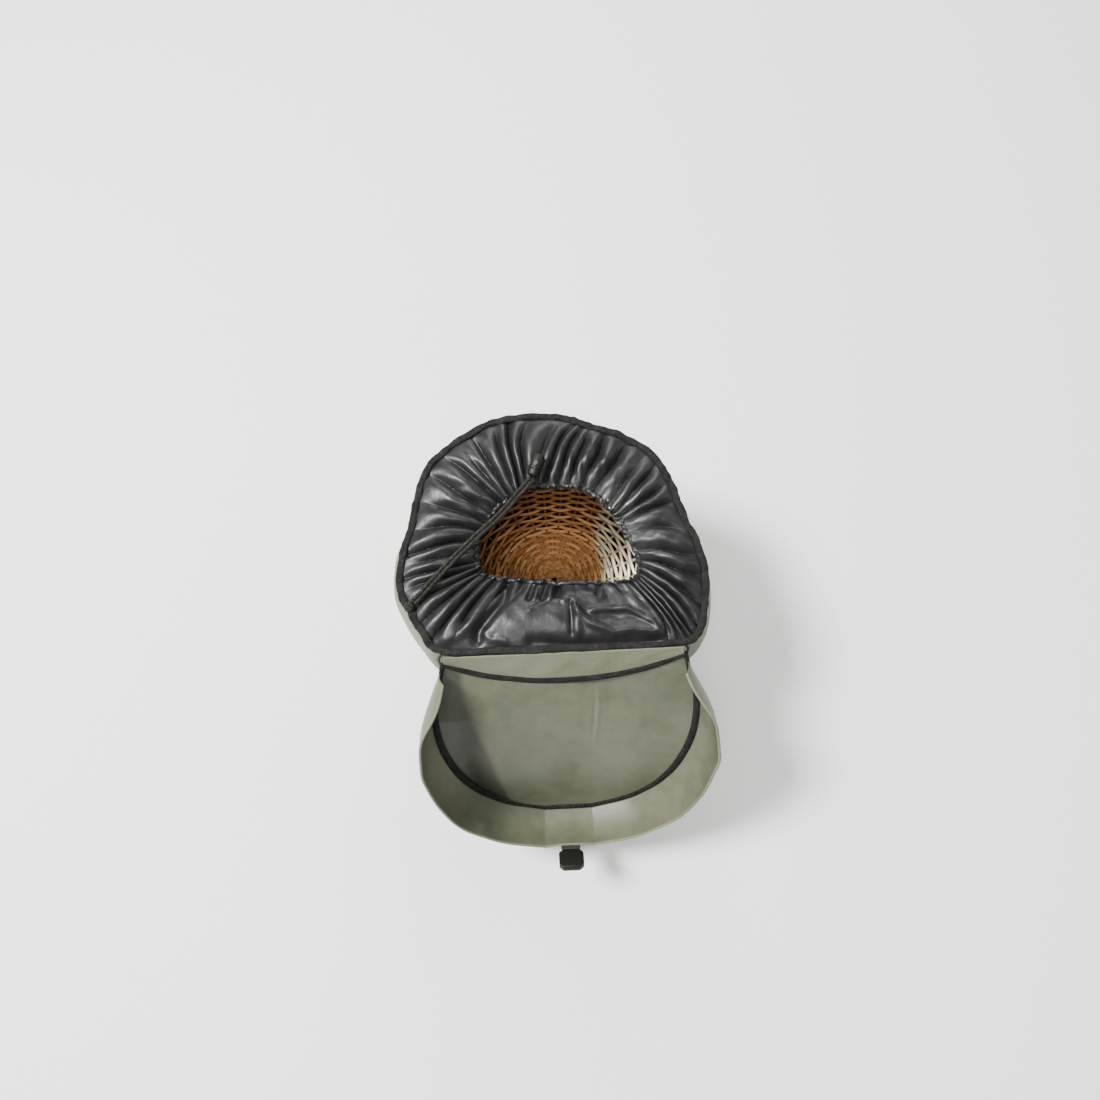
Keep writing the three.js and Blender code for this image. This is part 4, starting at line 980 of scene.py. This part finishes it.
# The tape narrows to 0.55 of its width at the two hinge corners.
fromCorner = np.concatenate([np.minimum(around, 1 - around), (1 - np.abs(hingeAcross)) / 2])
seamWidth = lid["seam"][0] * (0.55 + 0.45 * smoothStep(0, 0.12, fromCorner))
rings = tubePoints(seamLine, side, np.cross(side, along), seamWidth, lid["seam"][1], 12)
finish(gridObject("lid_seam", rings, loop=True), "tape", "black_binding", "lid_binding")

across, fall = gridOver(200, 24, -0.985, 0.985)
seamEdge = lidAt(across, 0 * across)
top = seamEdge.copy()
top[..., 1] = lid["hingeY"]
top[..., 2] = bag["rimHeight"] + lid["hingeLift"]
gusset = top + (seamEdge - top) * fall[..., None]
sag = np.sin(math.pi * fall) * (lid["sag"] + lid["sagWave"] * waves(across * 0.5, fall, 7, 1, seed=37))
gusset[..., 1] -= sag
gusset[..., 2] -= sag * 0.5
gussetSheet = sheetObject("gusset_cloth", gusset, lid["gusset"])
finish(gussetSheet, "cloth", "olive_cloth", "hinge_gusset")
print("stage: lid")

# Shoulder straps: padded, with bound edges.
strap = {
    "width": 56 * mm, "pad": 11 * mm, "topZ": 270 * mm, "topX": 58 * mm, "endX": 92 * mm,
    "drop": 196 * mm, "reach": 50 * mm, "backFace": -147.1 * mm, "gap": 0.3 * mm, "edge": (3.2 * mm, 6 * mm),
    "drops": [0, 0.04, 0.1, 0.2, 0.36, 0.54, 0.72, 0.88, 1],
    "reaches": [0, 0.01, 0.12, 0.42, 0.8, 1, 0.96, 0.74, 0.52],
}


def strapPath(side, drop):
    x = side * (strap["topX"] + (strap["endX"] - strap["topX"]) * drop)
    y = strap["backFace"] - strap["gap"] - strap["pad"] / 2
    y = y - tableCurve(strap["drops"], strap["reaches"], drop) * strap["reach"]
    return np.stack([x, y, strap["topZ"] - drop * strap["drop"]], -1)


def stripSides(path, side):
    along = tangents(path)
    face = unit(np.cross(along, side))
    return np.cross(face, along), face, along


drop = np.linspace(0, 1, 140)
for name, side in (("left", -1), ("right", 1)):
    path = strapPath(side, drop)
    across, face, along = stripSides(path, np.array([1.0, 0, 0]))
    taper = 1 - 0.12 * smoothStep(0.85, 1, drop)
    quilt = 1 + 0.05 * np.cos(fullTurn * drop * 6)
    rings = tubePoints(path, across, face, (strap["width"] - 2 * mm) * taper, strap["pad"] * quilt, 40, 2.6)
    pad = finish(gridObject(f"strap_pad_{name}", rings), "cloth", "olive_cloth", f"shoulder_strap_{name}")
    for edge, sign in (("outer", 1), ("inner", -1)):
        line = path + across * (sign * (strap["width"] / 2 - 1.6 * mm) * taper)[:, None]
        rings = tubePoints(line, across, face, *strap["edge"], 10)
        finish(gridObject(f"strap_edge_{name}_{edge}", rings), "tape", "black_binding")


# A copy of a frame node with its corners rounded, for the moulded pieces and the webbing.
def mouldedCopy(node, radius, look, slot):
    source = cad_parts[node]
    mesh = source.data.copy()
    mesh.transform(source.matrix_world)
    work = bmesh.new()
    work.from_mesh(mesh)
    bmesh.ops.remove_doubles(work, verts=work.verts, dist=1e-5)
    work.to_mesh(mesh)
    work.free()
    obj = sceneObject(f"{node}_moulded", mesh)
    bevel = obj.modifiers.new("bevel", "BEVEL")
    bevel.width, bevel.segments, bevel.limit_method = radius, 3, "ANGLE"
    mesh.shade_smooth()
    return finish(obj, look, slot, node)


for node in ("strap_adjuster_left", "strap_adjuster_right"):
    mouldedCopy(node, 0.9 * mm, "plastic", "plastic")
for node in ("front_buckle", "lid_buckle"):
    mouldedCopy(node, 1.6 * mm, "plastic", "plastic")
for node in ("strap_webbing_left", "strap_webbing_right", "haul_loop", "front_strap", "lid_strap"):
    mouldedCopy(node, 0.4 * mm, "webbing", "black_binding")
print("stage: straps and closure")

# Floor and light
stage = {"floor": (0.93, 0.93, 0.92), "world": (1.0, 1.0, 0.98), "worldStrength": 0.36,
         "half": 4, "under": 0.4 * mm, "aim": (0, 0, 0.25)}
corners = np.array([(-1, -1), (1, -1), (1, 1), (-1, 1)]) * stage["half"]
groundMesh = bpy.data.meshes.new("ground")
groundMesh.from_pydata([(x, y, -stage["under"]) for x, y in corners], [], [(0, 1, 2, 3)])
ground = sceneObject("ground", groundMesh)
groundMesh.materials.append(material("ground", {"Base Color": colour(*stage["floor"]), "Roughness": 0.9}))
world = bpy.data.worlds.new("world")
world.use_nodes = True
world.node_tree.nodes["Background"].inputs["Color"].default_value = colour(*stage["world"])
world.node_tree.nodes["Background"].inputs["Strength"].default_value = stage["worldStrength"]
bpy.context.scene.world = world

lights = [
    {"name": "window", "place": (-1.95, 0.2, 3.25), "size": 0.9, "power": 330},
    {"name": "back", "place": (0.4, 3.0, 2.3), "size": 2.0, "power": 90},
    {"name": "right", "place": (2.6, 0.4, 2.2), "size": 2.0, "power": 18},
    {"name": "above", "place": (-0.2, -0.9, 3.0), "size": 0.9, "power": 40},
    {"name": "basket", "place": (-0.75, 0.0, 1.9), "size": 0.06, "power": 0.3, "aim": (0.095, 0.0, 0.2),
     "spread": 4},
]
for light in lights:
    data = bpy.data.lights.new(light["name"], "AREA")
    data.size, data.energy = light["size"], light["power"]
    data.spread = math.radians(light.get("spread", 180))
    sceneObject(light["name"], data, light["place"], light.get("aim", stage["aim"]))
print("stage: floor and light")
